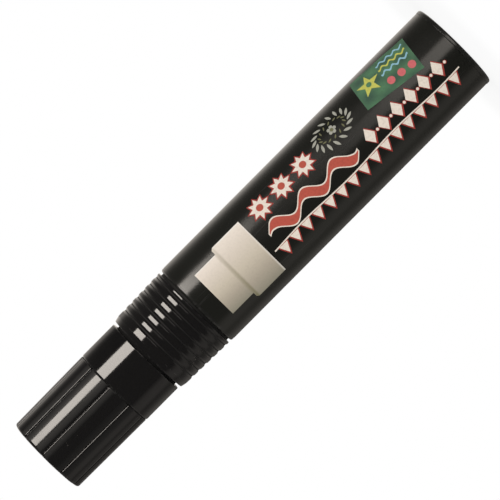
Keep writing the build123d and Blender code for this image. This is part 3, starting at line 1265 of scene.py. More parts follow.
@dataclass(frozen=True)
class Label:
    """The printed face of the film and how ink lies on it."""

    radius: float  # Outer radius of the film under the ink
    front: float  # Height of the film's front end
    pass_height: float = 0.02  # Height that each printing pass adds
    bed: float = 0.01  # How far ink goes into the film
    cell: float = 0.6  # Longest edge of a cell that follows the barrel
    weld: float = 0.004  # Distance within which corners are one

    def flat(self, name: str, patches: Sequence[Patch]) -> Piece:
        """Make a flat motif of thin closed patches.

        Args:
            name: Name of the motif.
            patches: Its patches.

        Returns:
            The flat object, before it is wrapped.
        """
        work = bmesh.new()
        inks = work.verts.layers.float_color.new(INK)
        for patch in patches:
            face = work.faces.new([work.verts.new((x, y, -self.bed)) for x, y in patch.outline])
            face.normal_update()
            start = bmesh.ops.triangulate(work, faces=[face], ngon_method="BEAUTY")
            faces = self.sliced(work, start["faces"], patch)
            raised = bmesh.ops.extrude_face_region(work, geom=faces)["geom"]
            tops = [part for part in raised if isinstance(part, bmesh.types.BMVert)]
            height = self.bed + self.pass_height * (patch.layer + 1)
            bmesh.ops.translate(work, verts=tops, vec=(0, 0, height))
            for vertex in {v for face in faces for v in face.verts} | set(tops):
                vertex[inks] = (*patch.paint((vertex.co.x, vertex.co.y)), 1.0)
        bmesh.ops.recalc_face_normals(work, faces=work.faces)
        bmesh.ops.scale(work, verts=work.verts, vec=(MM, MM, MM))
        mesh = bpy.data.meshes.new(name)
        work.to_mesh(mesh)
        work.free()
        return add_object(name, mesh)

    def sliced(
        self, work: bmesh.types.BMesh, faces: Sequence[bmesh.types.BMFace], patch: Patch
    ) -> list[bmesh.types.BMFace]:
        """Cut a patch into cells that can follow the barrel and carry its shading.

        Args:
            work: The mesh that holds it.
            faces: Faces of the patch.
            patch: The patch.

        Returns:
            The faces of the cut patch.
        """
        parts = list(faces)
        parts += {edge for face in faces for edge in face.edges} | {v for face in faces for v in face.verts}
        for axis in (0, 1):
            normal = Vector((1.0 - axis, axis, 0.0))
            values = [corner[axis] for corner in patch.outline]
            low, length = min(values), max(values) - min(values)
            cuts = int(length / self.cell)
            for cut in range(1, cuts + 1):
                level = low + cut * length / (cuts + 1)
                cells = bmesh.ops.bisect_plane(work, geom=parts, plane_co=normal * level, plane_no=normal)
                parts = cells["geom"]
        edges = [part for part in parts if isinstance(part, bmesh.types.BMEdge)]
        corners = [part for part in parts if isinstance(part, bmesh.types.BMVert)]
        bmesh.ops.dissolve_degenerate(work, edges=edges, dist=self.weld)
        return list({face for corner in corners if corner.is_valid for face in corner.link_faces})

    def sizes(self) -> Sources:
        """Give the wrap's sizes for a printing rule."""
        return {"Film Radius": self.radius * MM, "Film Front": self.front * MM}


class Row(NamedTuple):
    """A row of printed motifs: how many, where the first lies, and the step along the label."""

    count: int
    start: Point
    step: float = 0.0

    def sizes(self) -> dict[str, Source]:
        """Give the row's sizes for a printing rule."""
        x, y = self.start
        return {"Count": self.count, "Start": (x * MM, y * MM, 0.0), "Step": (self.step * MM, 0.0, 0.0)}


def star(points: int, outer: float, inner: float) -> list[Point]:
    """Draw a star round the origin by the radius of its points and the radius between them."""
    reaches = enumerate((outer, inner) * points)
    return [polar(reach, math.pi * index / points + QUARTER) for index, reach in reaches]


def disc(x: float, y: float, radius: float, sides: int = 20) -> list[Point]:
    """Draw a round spot with a number of corners."""
    return shifted([polar(radius, angle) for angle in even_angles(sides)], x, y)


def leaf(length: float, width: float, steps: int = 8, plump: float = 0.8) -> list[Point]:
    """Draw a pointed leaf that starts at the origin and grows along x.

    Args:
        length: Length of the leaf.
        width: Width in its middle.
        steps: Steps along each side.
        plump: Power of the sides' bend, which is fuller the lower it is.

    Returns:
        The corners.
    """
    shares = [step / steps for step in range(1, steps)]
    upper = [(length * share, width / 2 * math.sin(math.pi * share) ** plump) for share in shares]
    lower = [(x, -y) for x, y in reversed(upper)]
    return [(0.0, 0.0), *upper, (length, 0.0), *lower]


def band(centre: Course, half: Union[Course, float], ends: Point, step: float = 0.25) -> list[Point]:
    """Draw a band along x.

    Args:
        centre: Middle of the band at each x.
        half: Half its width at each x, or everywhere.
        ends: Where it starts and ends.
        step: Longest step along it.

    Returns:
        The corners.
    """
    low, high = ends
    steps = math.ceil((high - low) / step)
    places = [between(low, high, index / steps) for index in range(steps + 1)]
    rims = [(x, centre(x), half(x) if callable(half) else half) for x in places]
    return [(x, y + wide) for x, y, wide in rims] + [(x, y - wide) for x, y, wide in reversed(rims)]


def box(low: Point, high: Point) -> list[Point]:
    """Draw a rectangle between two corners."""
    return [low, (high[0], low[1]), high, (low[0], high[1])]


def shifted(outline: Sequence[Point], x: float, y: float, scale: float = 1.0) -> list[Point]:
    """Scale an outline and move it along and up the label."""
    return [(px * scale + x, py * scale + y) for px, py in outline]


@dataclass
class NibPicture:
    """Picture of the nib at its own size, printed next to the collar."""

    start: float = 4.7  # Where the tip starts, from the film's front end
    step: float = 12.8  # Where the wide block starts
    end: float = 23.7  # Where it ends
    tip: Point = (6.4, -9.5)  # Upper and lower edge of the tip
    wide: Point = (8.7, -11.9)  # Upper and lower edge of the wide block
    chamfer: float = 0.7  # Size of the wide block's cut corners
    shadow: float = 0.75  # Width of the shadow beside the step
    shade_range: Point = (0.3, 0.9)  # Its strength at the upper and lower edge
    rim: float = 0.55  # Width of the pale rims
    rim_light: float = 0.7  # Strength of the pale rims

    tones = (
        srgb(252, 238, 223),
        srgb(232, 218, 201),
        srgb(213, 200, 179),
        srgb(182, 170, 151),
        srgb(150, 144, 125),
    )
    hollow = srgb(112, 106, 62)
    light = srgb(252, 246, 236)

    def shade(self, point: Point) -> Colour:
        """Shade the picture.

        Args:
            point: Point of the label.

        Returns:
            The colour there.
        """
        x, y = point
        upper, lower = self.wide if x > self.step else self.tip
        fall = (upper - y) / (upper - lower)
        beside = 1 - abs(x - self.step - self.shadow / 2) / self.shadow
        shadow = max(beside, 0.0) * between(*self.shade_range, fall)
        colour = blend(ramp(self.tones, fall), self.hollow, shadow)
        on_rim = x > self.end - self.rim or upper - y < self.rim
        return blend(colour, self.light, self.rim_light) if on_rim else colour

    def patches(self) -> list[Patch]:
        """Draw the picture.

        Returns:
            The tip and the wide block.
        """
        upper, lower = self.wide
        shoulder = self.step + self.chamfer
        block = [
            (self.step, lower + self.chamfer),
            (shoulder, lower),
            (self.end, lower),
            (self.end, upper),
            (shoulder, upper),
            (self.step, upper - self.chamfer),
        ]
        tip = box((self.start, self.tip[1]), (self.step, self.tip[0]))
        return [Patch(tip, self.shade), Patch(block, self.shade)]


@dataclass
class Ribbon:
    """A red ribbon with a cream edge that waves and swells like a pen stroke."""

    low: float = 27.2  # Where it starts along the label
    high: float = 61.2  # Where it ends
    level: float = -0.85  # Height of its middle on the label
    swing: float = 1.55  # How far it waves up and down
    length: float = 11.5  # Length of a wave
    stroke: Point = (1.116, 0.684)  # Half width of the red stroke, and its swell
    run_out: Point = (3.0, 0.25)  # Length over which an end thins, and what is left
    edge: float = 0.42  # How far the cream edge stands out
    setback: float = 0.3  # Of the red stroke from both ends

    def middle(self, x: float) -> float:
        """Follow the wave."""
        return self.level + self.swing * math.sin(TURN * (x - self.low) / self.length)

    def red(self, x: float) -> float:
        """Swell on the falling stretches and run out at the ends.

        Args:
            x: Place along the label.

        Returns:
            Half the width of the red stroke there.
        """
        mean, swell = self.stroke
        reach, least = self.run_out
        thin = min(1.0, (x - self.low) / reach + least, (self.high - x) / reach + least)
        return (mean - swell * math.cos(TURN * (x - self.low) / self.length)) * thin

    def cream(self, x: float) -> float:
        """Stand out beyond the red stroke."""
        return self.red(x) + self.edge

    def patches(self) -> list[Patch]:
        """Draw the ribbon.

        Returns:
            The cream edge and the red stroke on it.
        """
        inner = (self.low + self.setback, self.high - self.setback)
        return [
            Patch(band(self.middle, self.cream, (self.low, self.high)), Ink.CREAM, 0),
            Patch(band(self.middle, self.red, inner), Ink.BRICK, 1),
        ]


@dataclass
class Artwork:
    """The plain festive print on the barrel's front."""

    label: Label
    bursts: Row = Row(3, (30.7, 6.9), 8.4)
    diamonds: Row = Row(6, (66.2, -1.0), 31.4 / 6)
    flags: Row = Row(16, (28.1, -5.1), 4.4)  # Row of pennants
    sag: float = 0.35  # How far the string goes up and down
    swag: float = 36.0  # Length of its swags
    string: Place = (0.2, 0.15, 3.0)  # Half width, height over the pennants, loose ends
    wreath: Point = (60.0, 8.2)  # Middle of the leaf wreath
    oval: float = 1.75  # Length of the wreath against its height
    card: Point = (81.4, 9.2)  # Middle of the green card
    card_tilt: float = -0.14

    card_half = (9.8, 6.2)
    mottle = (0.7, 0.9)
    mottle_shift = 0.4
    ripple = (0.45, 2.6, 0.32)
    leaf_aspect = 0.32
    petal_count = 5
    petal_reach = 0.95
    petal_radius = 0.55
    seam_half = 1.6
    seam_margin = 0.15

    def build(self) -> list[Piece]:
        """Print every motif and seat it on the barrel.

        Returns:
            The printed pieces.
        """
        row, ring = PrintRule(Layout.ROW), PrintRule(Layout.RING)
        once = Row(1, (0.0, 0.0)).sizes()
        hung = {**self.flags.sizes(), "Sag": self.sag * MM, "Swag Length": self.swag * MM}
        tilted = {**Row(1, self.card).sizes(), "Tilt": self.card_tilt}
        motifs = (
            (row, "print_nib", NibPicture().patches(), once, SMOOTH_PRINT),
            (row, "print_stars", self.sunburst(), self.bursts.sizes()),
            (row, "print_ribbon", Ribbon().patches(), once),
            (row, "print_diamonds", self.diamond(), self.diamonds.sizes()),
            (row, "print_flags", self.flag(), hung),
            (row, "print_flag_string", self.line(), once),
            (ring, "print_wreath_outer", self.leaf(Ink.ASH, 2.6), self.ring(16, 3.1, 0.8)),
            (ring, "print_wreath_inner", self.leaf(Ink.OLIVE, 1.4), self.ring(14, 2.9, 2.5)),
            (row, "print_wreath_heart", self.blossom(), Row(1, self.wreath).sizes()),
            (row, "print_card", self.card_face(), tilted),
            (row, "film_seam", self.seam(), once),
        )
        return [self.printed(*motif) for motif in motifs]

    def printed(
        self,
        rule: PrintRule,
        name: str,
        patches: Sequence[Patch],
        sizes: Sources,
        finish: Finish = CHALK_PRINT,
    ) -> Piece:
        """Print the patches of one motif on the film, repeated by a rule."""
        piece = rule.run(self.label.flat(name, patches), finish, {**self.label.sizes(), **sizes})
        return seated(piece, Body.BARREL, finish)

    def sunburst(self) -> list[Patch]:
        """Draw a cream sunburst with a red edge."""
        rays = [Patch(star(9, 4.2, 2.75), Ink.RED, 0), Patch(star(9, 3.6, 2.1), Ink.CREAM, 1)]
        return [*rays, Patch(disc(0.0, 0.0, 1.1), Ink.BRICK, 2)]

    def diamond(self) -> list[Patch]:
        """Draw a cream diamond with a red shadow and a dot beside it.

        Returns:
            The patches.
        """
        shape = [(-1.75, 0.0), (0.0, -2.6), (1.75, 0.0), (0.0, 2.6)]
        return [
            Patch(shifted(shape, 0.2, -0.2, scale=1.16), Ink.RED, 0),
            Patch(shape, Ink.CREAM, 1),
            Patch(disc(2.81, -0.2, 0.58), Ink.RED, 0),
            Patch(disc(2.77, -0.16, 0.42), Ink.CREAM, 1),
        ]

    def flag(self) -> list[Patch]:
        """Draw a cream pennant with a red edge."""
        edge, face = [(-2.05, 0.15), (0.0, -4.45), (2.05, 0.15)], [(-1.5, -0.2), (0.0, -3.5), (1.5, -0.2)]
        return [Patch(edge, Ink.RED, 0), Patch(face, Ink.CREAM, 1)]

    def line(self) -> list[Patch]:
        """Draw the string that the pennants hang from.

        Returns:
            The patch.
        """
        half, rise, loose = self.string
        count, (start, height), step = self.flags

        def middle(x: float) -> float:
            """Follow the pennants."""
            return height + rise + self.sag * math.cos(TURN * x / self.swag)

        ends = (start - loose, start + (count - 1) * step + loose)
        return [Patch(band(middle, half, ends), Ink.CREAM, 2)]

    def leaf(self, ink: Ink, length: float) -> list[Patch]:
        """Draw one leaf of the wreath."""
        return [Patch(leaf(length, length * self.leaf_aspect), ink, 0)]

    def ring(self, count: int, radius: float, tilt: float) -> Sources:
        """Give a ring of leaves round the wreath's middle."""
        turned = {"Ring Radius": radius * MM, "Ring Aspect": self.oval, "Tilt": tilt}
        return {**Row(count, self.wreath).sizes(), **turned}

    def blossom(self) -> list[Patch]:
        """Draw the small flower in the middle of the wreath.

        Returns:
            The petals and the heart.
        """
        size = self.petal_radius
        middles = [polar(self.petal_reach, angle) for angle in even_angles(self.petal_count)]
        petals = [Patch(disc(x, y, size), Ink.ASH, 0) for x, y in middles]
        return [*petals, Patch(disc(0.0, 0.0, size), Ink.OLIVE, 1)]

    def card_face(self) -> list[Patch]:
        """Draw a green card with a yellow star, small waves and pink spots.

        Returns:
            The patches.
        """
        width, height = self.card_half
        along, up = self.mottle
        swing, length, half = self.ripple

        def mottled(point: Point) -> Colour:
            """Lighten the card unevenly, as rubbed chalkboard."""
            share = 0.5 + 0.5 * math.sin(along * point[0] + self.mottle_shift) * math.cos(up * point[1])
            return blend(Ink.GREEN.value, Ink.MOSS.value, share)

        def middle(x: float) -> float:
            """Follow small waves."""
            return swing * math.sin(TURN * x / length)

        rows = ((4.0, Ink.SKY), (2.0, Ink.YELLOW), (0.0, Ink.SKY))
        wave = band(middle, half, (-1.0, 8.6))
        return [
            Patch(box((-width, -height), (width, height)), mottled, 0),
            Patch(shifted(star(5, 3.9, 1.6), -5.3, 0.1), Ink.YELLOW, 1),
            Patch(disc(-5.3, 0.1, 0.85), Ink.MOSS, 2),
            *(Patch(shifted(wave, 0.0, level), ink, 1) for level, ink in rows),
            *(Patch(disc(x, -3.3, 1.2), Ink.PINK, 1) for x in (0.4, 4.0, 7.6)),
        ]

    def seam(self) -> list[Patch]:
        """Draw the overlap where the film's edges meet at the back.

        Returns:
            The patch.
        """
        back, margin = math.pi * self.label.radius, self.seam_margin
        end = self.label.front - Span.of("printed_sleeve").low - margin
        strip = box((margin, back - self.seam_half), (end, back + self.seam_half))
        return [Patch(strip, Ink.FILM, 0)]


@dataclass
class Barrel:
    """Barrel tube, printed film and tail plug."""

    wall: float = 1.35
    front_round: float = 1.0  # Round on the tube's front edge
    snap_setback: float = 4.5  # Of the snap groove from the front end
    snap_half: float = 0.7  # Half the groove's width
    snap_depth: float = 0.35
    film_gap: float = 0.02  # Room between the tube and the film
    film_thickness: float = 0.04
    film_rounds: Point = (0.01, 0.015)  # Rounds on the film's inner and outer edges
    recess: Point = (9.0, 0.4)  # Radius and depth of the tail's recess
    spigot: float = 12.2  # Radius of the plug's spigot
    cup: Point = (11.0, 0.8)  # Radius of the plug's cup, and its floor's rise
    rib_half: float = 0.4  # Half the width of a sealing rib
    rib_height: float = 0.27
    rib_setback: float = 1.6  # Of the ribs from the spigot's ends
    flange_rounds: Point = (0.65, 0.12)  # Rounds on the outer and inner edge of the plug's flange

    film_sides = 256

    def build(self) -> list[Piece]:
        """Build the barrel's pieces.

        Returns:
            The tube, the film, the plug and the printed pieces.
        """
        inner = Span.of("barrel").radius + self.film_gap
        label = Label(inner + self.film_thickness, Span.of("printed_sleeve").high)
        return [self.tube(), self.film(inner), self.plug(), *Artwork(label).build()]

    def tube(self) -> Piece:
        """Build the tube with its rounded front edge and snap groove.

        Returns:
            The piece.
        """
        span = Span.of("barrel")
        bore = span.radius - self.wall
        snap = span.high - self.snap_setback
        corners = [
            Corner(bore, span.low),
            Corner(span.radius, span.low),
            Corner(span.radius, span.high, self.front_round),
            Corner(bore, span.high),
            Corner(bore, snap + self.snap_half),
            Corner(bore + self.snap_depth, snap, SOFT),
            Corner(bore, snap - self.snap_half),
        ]
        piece = Outline(corners, closed=True).turned("barrel_tube", even_angles(SIDES))
        return seated(piece, Body.BARREL, SATIN_BLACK, "barrel")

    def film(self, inner: float) -> Piece:
        """Build the film round the tube.

        Args:
            inner: Inner radius of the film.

        Returns:
            The piece.
        """
        span = Span.of("printed_sleeve")
        outer = inner + self.film_thickness
        inner_round, outer_round = self.film_rounds
        corners = [
            Corner(inner, span.low, inner_round),
            Corner(outer, span.low, outer_round, rows=2),
            Corner(outer, span.high, outer_round),
            Corner(inner, span.high, inner_round),
        ]
        piece = Outline(corners, closed=True).turned("printed_film", even_angles(self.film_sides))
        return seated(piece, Body.BARREL, BLACK_FILM, "printed_sleeve")

    def plug(self) -> Piece:
        """Build the tail plug with its recess, spigot and sealing ribs.

        Returns:
            The piece.
        """
        span = Span.of("tail_plug")
        flange = Span.of("barrel").low
        recess, recess_depth = self.recess
        cup, rise = self.cup
        outer_round, inner_round = self.flange_rounds
        corners = [
            Corner(0.0, recess_depth),
            Corner(recess, recess_depth, FINE),
            Corner(recess, span.low, FINE),
            Corner(span.radius, span.low, outer_round),
            Corner(span.radius, flange, inner_round),
            Corner(self.spigot, flange),
        ]
        for rib in (flange + self.rib_setback, span.high - self.rib_setback):
            corners += [
                Corner(self.spigot, rib - self.rib_half),
                Corner(self.spigot + self.rib_height, rib, SOFT),
                Corner(self.spigot, rib + self.rib_half),
            ]
        corners += [
            Corner(self.spigot, span.high, FINE),
            Corner(cup, span.high, FINE),
            Corner(cup, flange + rise, FULL),
            Corner(0.0, flange + rise),
        ]
        piece = Outline(corners, closed=False).turned("tail_end_plug", even_angles(SIDES))
        return seated(piece, Body.BARREL, SATIN_BLACK, "tail_plug")


@dataclass
class GripCollar:
    """Ringed grip collar with its nose, and the gasket behind it."""

    bore: float = 9.0  # Radius of the bore for holder and valve
    spigot: float = 12.47  # Radius of the spigot in the barrel
    rear: float = 13.8  # Radius of the grip's rear edge
    front: float = 13.36  # Radius of the grip's front edge
    lead: Point = (0.4, 1.7)  # Drop and length of the slope behind the front edge
    nose: Point = (11.19, 7.0)  # Radius and length of the nose
    nose_lead: float = 0.5  # Chamfer on its end
    bead: Place = (3.4, 0.8, 0.2)  # Nose bead's setback from the grip, half width and height
    snap: Place = (4.5, 0.6, 0.25)  # Snap bead's setback in the barrel, half width and height
    shelf: Point = (5.5, 1.6)  # Radius of the inner shelf's hole, and its thickness
    lip: Place = (8.8, 1.2, 0.1)  # Radius, width and room of the lip under the cage
    ring_count: int = 6
    ring_setback: float = 4.28  # Of the first groove from the front edge
    ring_pitch: float = 2.522
    ring_width: float = 1.35
    ring_depth: float = 0.28
    ring_shape: float = 1.25  # Power of the section, nearly a wedge

    grip_rows = 150

    def build(self) -> list[Piece]:
        """Build the collar and dress the gasket."""
        return [self.collar(), dressed("collar_gasket", BLACK_SEAL)]

    def collar(self) -> Piece:
        """Turn the collar and cut its rings.

        Returns:
            The piece.
        """
        piece = Outline(self.corners(), closed=True).turned("ringed_collar", even_angles(SIDES))
        sizes = {
            "Ring Count": float(self.ring_count),
            "First Ring": (self.front_z() - self.ring_setback) * MM,
            "Pitch": self.ring_pitch * MM,
            "Width": self.ring_width * MM,
            "Depth": self.ring_depth * MM,
            "Shape": self.ring_shape,
        }
        RingRule().run(piece, POLISHED_BLACK, sizes)
        return seated(piece, Body.BARREL, POLISHED_BLACK, "grip_collar")

    def front_z(self) -> float:
        """Give the height of the grip's front edge."""
        return Span.of("grip_collar").high - self.nose[1]

    def corners(self) -> list[Corner]:
        """Draw the collar's half section.

        Returns:
            The corners.
        """
        span = Span.of("grip_collar")
        rear_z, front_z = Span.of("collar_gasket").high, self.front_z()
        drop, run = self.lead
        nose = self.nose[0]
        setback, bead_half, bead_height = self.bead
        bead_z = front_z + setback
        snap_setback, snap_half, snap_height = self.snap
        snap_z = Span.of("barrel").high - snap_setback
        hole, shelf_thickness = self.shelf
        shelf_z = Span.of("valve_body").high
        lip, lip_width, lip_room = self.lip
        lip_z = Span.of("spring_cage").low - lip_room
        return [
            Corner(self.spigot, span.low, SOFT),
            Corner(self.spigot, snap_z - snap_half),
            Corner(self.spigot + snap_height, snap_z, FULL),
            Corner(self.spigot, snap_z + snap_half),
            Corner(self.spigot, rear_z),
            Corner(self.rear, rear_z, SOFT, rule=1.0, rows=self.grip_rows),
            Corner(self.front, front_z - run, BROAD, rule=1.0),
            Corner(self.front - drop, front_z, SOFT),
            Corner(nose, front_z, TIGHT, dull=1.0),
            Corner(nose, bead_z - bead_half, FULL, dull=1.0),
            Corner(nose + bead_height, bead_z, BROAD),
            Corner(nose, bead_z + bead_half, FULL),
            Corner(nose, span.high - self.nose_lead),
            Corner(nose - self.nose_lead, span.high),
            Corner(self.bore, span.high),
            Corner(self.bore, shelf_z + shelf_thickness),
            Corner(hole, shelf_z + shelf_thickness),
            Corner(hole, shelf_z),
            Corner(self.bore, shelf_z),
            Corner(self.bore, lip_z),
            Corner(lip, lip_z),
            Corner(lip, lip_z - lip_width),
            Corner(self.bore, span.low),
        ]


@dataclass
class Cap:
    """Cap with a plain mouth section and a lobed crown section, and its liner."""

    mouth: float = 12.65  # Outer radius at the mouth
    bore: Point = (11.45, 0.6)  # Radius, and room beyond the collar's nose
    upper_bore: Point = (10.93, 1.8)  # Radius, and the wall over its end
    plain: float = 12.5  # Length of the plain section
    crest: Point = (12.6, 12.37)  # Radius over the lobes at the step and at the crown
    line: float = 0.3  # Depth of the line round the step
    line_half: float = 0.2  # Half the width of that line
    crown_round: float = 0.7
    crown_flat: float = 2.2  # Width of the crown's rim that follows the lobes
    step_round: float = 0.25  # Round on the lobes' end at the step
    mouth_round: float = 0.25
    lobe_count: int = 10
    lobe_phase: float = 6.0  # Angle of a crest, in degrees
    lobe_depth: float = 0.31  # Fall from crest to valley
    groove_depth: float = 0.3  # Depth of the fine groove in each valley
    groove_half: float = 0.36  # Half its width
    flank_matt: float = 0.45  # From 0 to 1

    valley_steps = (0.0, 0.2, 0.4, 0.6, 0.8, 1.0, 1.2, 1.4, 1.8, 2.5, 3.5, 5.0, 7.0, 9.5, 12.2, 15.0, 18.0)

    def build(self) -> list[Piece]:
        """Build the shell and dress the liner."""
        return [self.shell(), dressed("cap_liner", LINER_PLASTIC)]

    def shell(self) -> Piece:
        """Turn the shell and cut its lobes.

        Returns:
            The piece.
        """
        piece = Outline(self.corners(), closed=False).turned("cap_lobed_shell", self.angles())
        sizes = {
            "Lobe Count": float(self.lobe_count),
            "Phase": math.radians(self.lobe_phase),
            "Crest Radius": self.crest[0] * MM,
            "Lobe Radius": self.lobe_radius() * MM,
            "Groove Depth": self.groove_depth * MM,
            "Groove Half": self.groove_half * MM,
            "Flank Matt": self.flank_matt,
        }
        LobeRule().run(piece, POLISHED_BLACK, sizes)
        return seated(piece, Body.CAP, POLISHED_BLACK, "cap_shell")

    def lobe_radius(self) -> float:
        """Find the radius of the arc that falls by the lobe's depth from crest to valley.

        Returns:
            The radius.
        """
        crest = self.crest[0]
        valley = crest - self.lobe_depth
        cosine = math.cos(math.pi / self.lobe_count)
        return (valley**2 - 2 * valley * crest * cosine + crest**2) / (2 * crest - 2 * valley * cosine)

    def angles(self) -> list[float]:
        """Crowd angles round the cap towards the valleys.

        Returns:
            The angles, in order.
        """
        lobe = 360 / self.lobe_count
        first = self.lobe_phase + lobe / 2
        valleys = [first + index * lobe for index in range(self.lobe_count)]
        steps = [*self.valley_steps, *(lobe - step for step in reversed(self.valley_steps[1:-1]))]
        return [math.radians(valley + step) for valley in valleys for step in steps]

    def corners(self) -> list[Corner]:
        """Draw the shell's half section.

        Returns:
            The corners.
        """
        span = Span.of("cap_shell")
        base, crown = self.crest
        bore, room = self.bore
        bore_end = Span.of("grip_collar").high + room
        upper, end_wall = self.upper_bore
        upper_end = span.high - end_wall
        step_z = span.low + self.plain
        return [
            Corner(0.0, span.high),
            Corner(crown - self.crown_flat, span.high, bend=0.0, rows=5),
            Corner(crown, span.high, self.crown_round, rule=1.0, rows=8),
            Corner(base, step_z + self.line_half, self.step_round, rule=1.0),
            Corner(base - self.line, step_z, rule=1.0, dull=1.0),
            Corner(self.mouth, step_z - self.line_half, SOFT, rows=2),
            Corner(self.mouth, span.low, self.mouth_round),
            Corner(bore, span.low, self.mouth_round),
            Corner(bore, bore_end, SOFT),
            Corner(upper, bore_end, SOFT),
            Corner(upper, upper_end, FULL),
            Corner(0.0, upper_end),
        ]


@dataclass
class NibUnit:
    """Chisel nib of pressed fibre, and the holder that guides it."""

    width: float = 15.0
    thickness: float = 6.0
    corner: float = 1.2  # Round on its long edges
    bevel: float = 3.4  # Drop of the chisel face across the thickness
    edge: float = 0.45  # Round on the chisel's rim
    fine_reach: float = 9.0  # Part from the tip with close rows
    fine_step: float = 0.22  # Step between close rows
    nap: float = 0.09
    strand_scale: float = 1300.0  # Strands of the nap to a metre
    weld: float = 0.002  # Distance within which vertices are one

    corner_steps = 10
    side_steps = (44, 18)
    climb_steps = 14
    rim_steps = 6
    face_steps = 12

    def build(self) -> list[Piece]:
        """Build the nib and dress its holder."""
        return [self.nib(), dressed("nib_holder", PALE_PLASTIC)]

    def loop(self, inset: float) -> list[Point]:
        """Draw the nib's section.

        Args:
            inset: How far the section is drawn in from the full one.

        Returns:
            The points, as many for every inset.
        """
        shrink = min(self.corner - inset, 0.0)
        corner = max(self.corner - inset, 0.0)
        reach_x = self.width / 2 - self.corner + shrink
        reach_y = max(self.thickness / 2 - self.corner + shrink, 0.0)
        points: list[Point] = []
        for quarter, (sign_x, sign_y) in enumerate(((1, 1), (-1, 1), (-1, -1), (1, -1))):
            x, y = sign_x * reach_x, sign_y * reach_y
            turns = [quarter + step / self.corner_steps for step in range(self.corner_steps + 1)]
            *arc, (end_x, end_y) = shifted([polar(corner, QUARTER * turn) for turn in turns], x, y)
            points += arc
            goal_x, goal_y = (end_x, -y) if quarter % 2 else (-x, end_y)
            steps = self.side_steps[quarter % 2]
            for share in (step / steps for step in range(steps)):
                points.append((between(end_x, goal_x, share), between(end_y, goal_y, share)))
        return points

    def chisel(self, y: float, tip: float) -> float:
        """Give the height of the chisel face across the thickness, by its highest edge."""
        return tip - self.bevel * (y + self.thickness / 2) / self.thickness

    def loops(self) -> list[list[Place]]:
        """Draw the block's loops, from the rear end to the middle of the chisel face.

        Returns:
            The points of each loop.
        """
        span = Span.of("nib")
        tip = span.high
        full = self.loop(0.0)
        lowest = tip - self.bevel - self.edge
        fine_from = tip - self.fine_reach
        rows = math.ceil((lowest - fine_from) / self.fine_step)
        heights = [span.low, *(between(fine_from, lowest, row / rows) for row in range(rows + 1))]
        loops = [[(x, y, height) for x, y in full] for height in heights]
        rims = [self.chisel(y, tip) - self.edge for _, y in full]
        for share in (step / self.climb_steps for step in range(1, self.climb_steps + 1)):
            loops.append([(x, y, between(lowest, rim, share)) for (x, y), rim in zip(full, rims)])
        for step in range(1, self.rim_steps + 1):
            angle = QUARTER * step / self.rim_steps
            inset, sink = self.edge * (1 - math.cos(angle)), self.edge * (1 - math.sin(angle))
            loops.append([(x, y, self.chisel(y, tip) - sink) for x, y in self.loop(inset)])
        for step in range(1, self.face_steps + 1):
            inset = between(self.edge, self.thickness / 2, step / self.face_steps)
            loops.append([(x, y, self.chisel(y, tip)) for x, y in self.loop(inset)])
        return loops

    def nib(self) -> Piece:
        """Build the block from its loops and raise its nap.

        Returns:
            The piece.
        """
        loops = self.loops()
        count = len(loops[0])
        rings = [range(index * count, (index + 1) * count) for index in range(len(loops))]
        faces = [*bridged(rings), rings[0][::-1]]
        piece = solid("fibre_nib", [point for loop in loops for point in loop], faces, self.weld)
        NapRule().run(piece, CREAM_FIBRE, {"Depth": self.nap * MM, "Strand Scale": self.strand_scale})
        return seated(piece, Body.NIB, CREAM_FIBRE, "nib")


@dataclass
class Valve:
    """Spring valve behind the nib."""

    cage_floor: float = 1.2  # Its thickness under the spring
    gap: float = 0.03  # Room at each end of the spring
    length: float = 8.3  # Length of the spring with its room
    coil: float = 2.66  # Radius of the coil's centre line
    wire: float = 0.35
    end_turns: float = 1.0  # Close turns at each end
    open_turns: float = 3.5  # Turns between them
    end_pitch: float = 1.15  # Pitch of the close turns
    travel: float = 2.5  # How far the stem presses the spring; not used

    def build(self) -> list[Piece]:
        """Wind the spring and dress the pieces round it.

        Returns:
            The pieces.
        """
        return [
            self.spring(),
            dressed("valve_body", PALE_PLASTIC),
            dressed("valve_seat", BLACK_SEAL),
            dressed("valve_stem", PALE_PLASTIC),
            dressed("spring_cage", PALE_PLASTIC),
        ]

    def spring(self) -> Piece:
        """Wind the spring at its rest length, though the real one shortens as the stem moves.

        Returns:
            The piece.
        """
        floor_z = Span.of("spring_cage").low + self.cage_floor
        rise = self.length - 2 * self.wire - 2 * self.gap
        open_pitch = (rise - 2 * self.end_turns * self.end_pitch) / self.open_turns
        piece = add_object("valve_coil", bpy.data.meshes.new("valve_coil"))
        sizes = {
            "Base": (floor_z + self.gap + self.wire) * MM,
            "Coil Radius": self.coil * MM,
            "Wire Radius": self.wire * MM,
            "End Turns": self.end_turns,
            "Open Turns": self.open_turns,
            "End Pitch": self.end_pitch * MM,
            "Open Pitch": open_pitch * MM,
        }
        CoilRule().run(piece, SPRING_WIRE, sizes)
        piece.data.shade_smooth()
        seated(piece, Body.BARREL, SPRING_WIRE, "valve_spring")
        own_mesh(piece)
        return piece


@dataclass
class MixingBall:
    """Loose steel ball that stirs the ink."""

    def build(self) -> list[Piece]:
        """Dress the ball."""
        return [dressed("mixing_ball", BALL_STEEL)]


@dataclass(frozen=True)
class Lamp:
    """A rectangular lamp that stands upright and faces the marker's axis."""

    name: str
    angle: float  # From the camera towards +X, in degrees
    low: float
    high: float
    width: float
    radiance: float  # Brightness of its face
    glossy: bool = True  # Shown in reflections, or else lighting pale surfaces


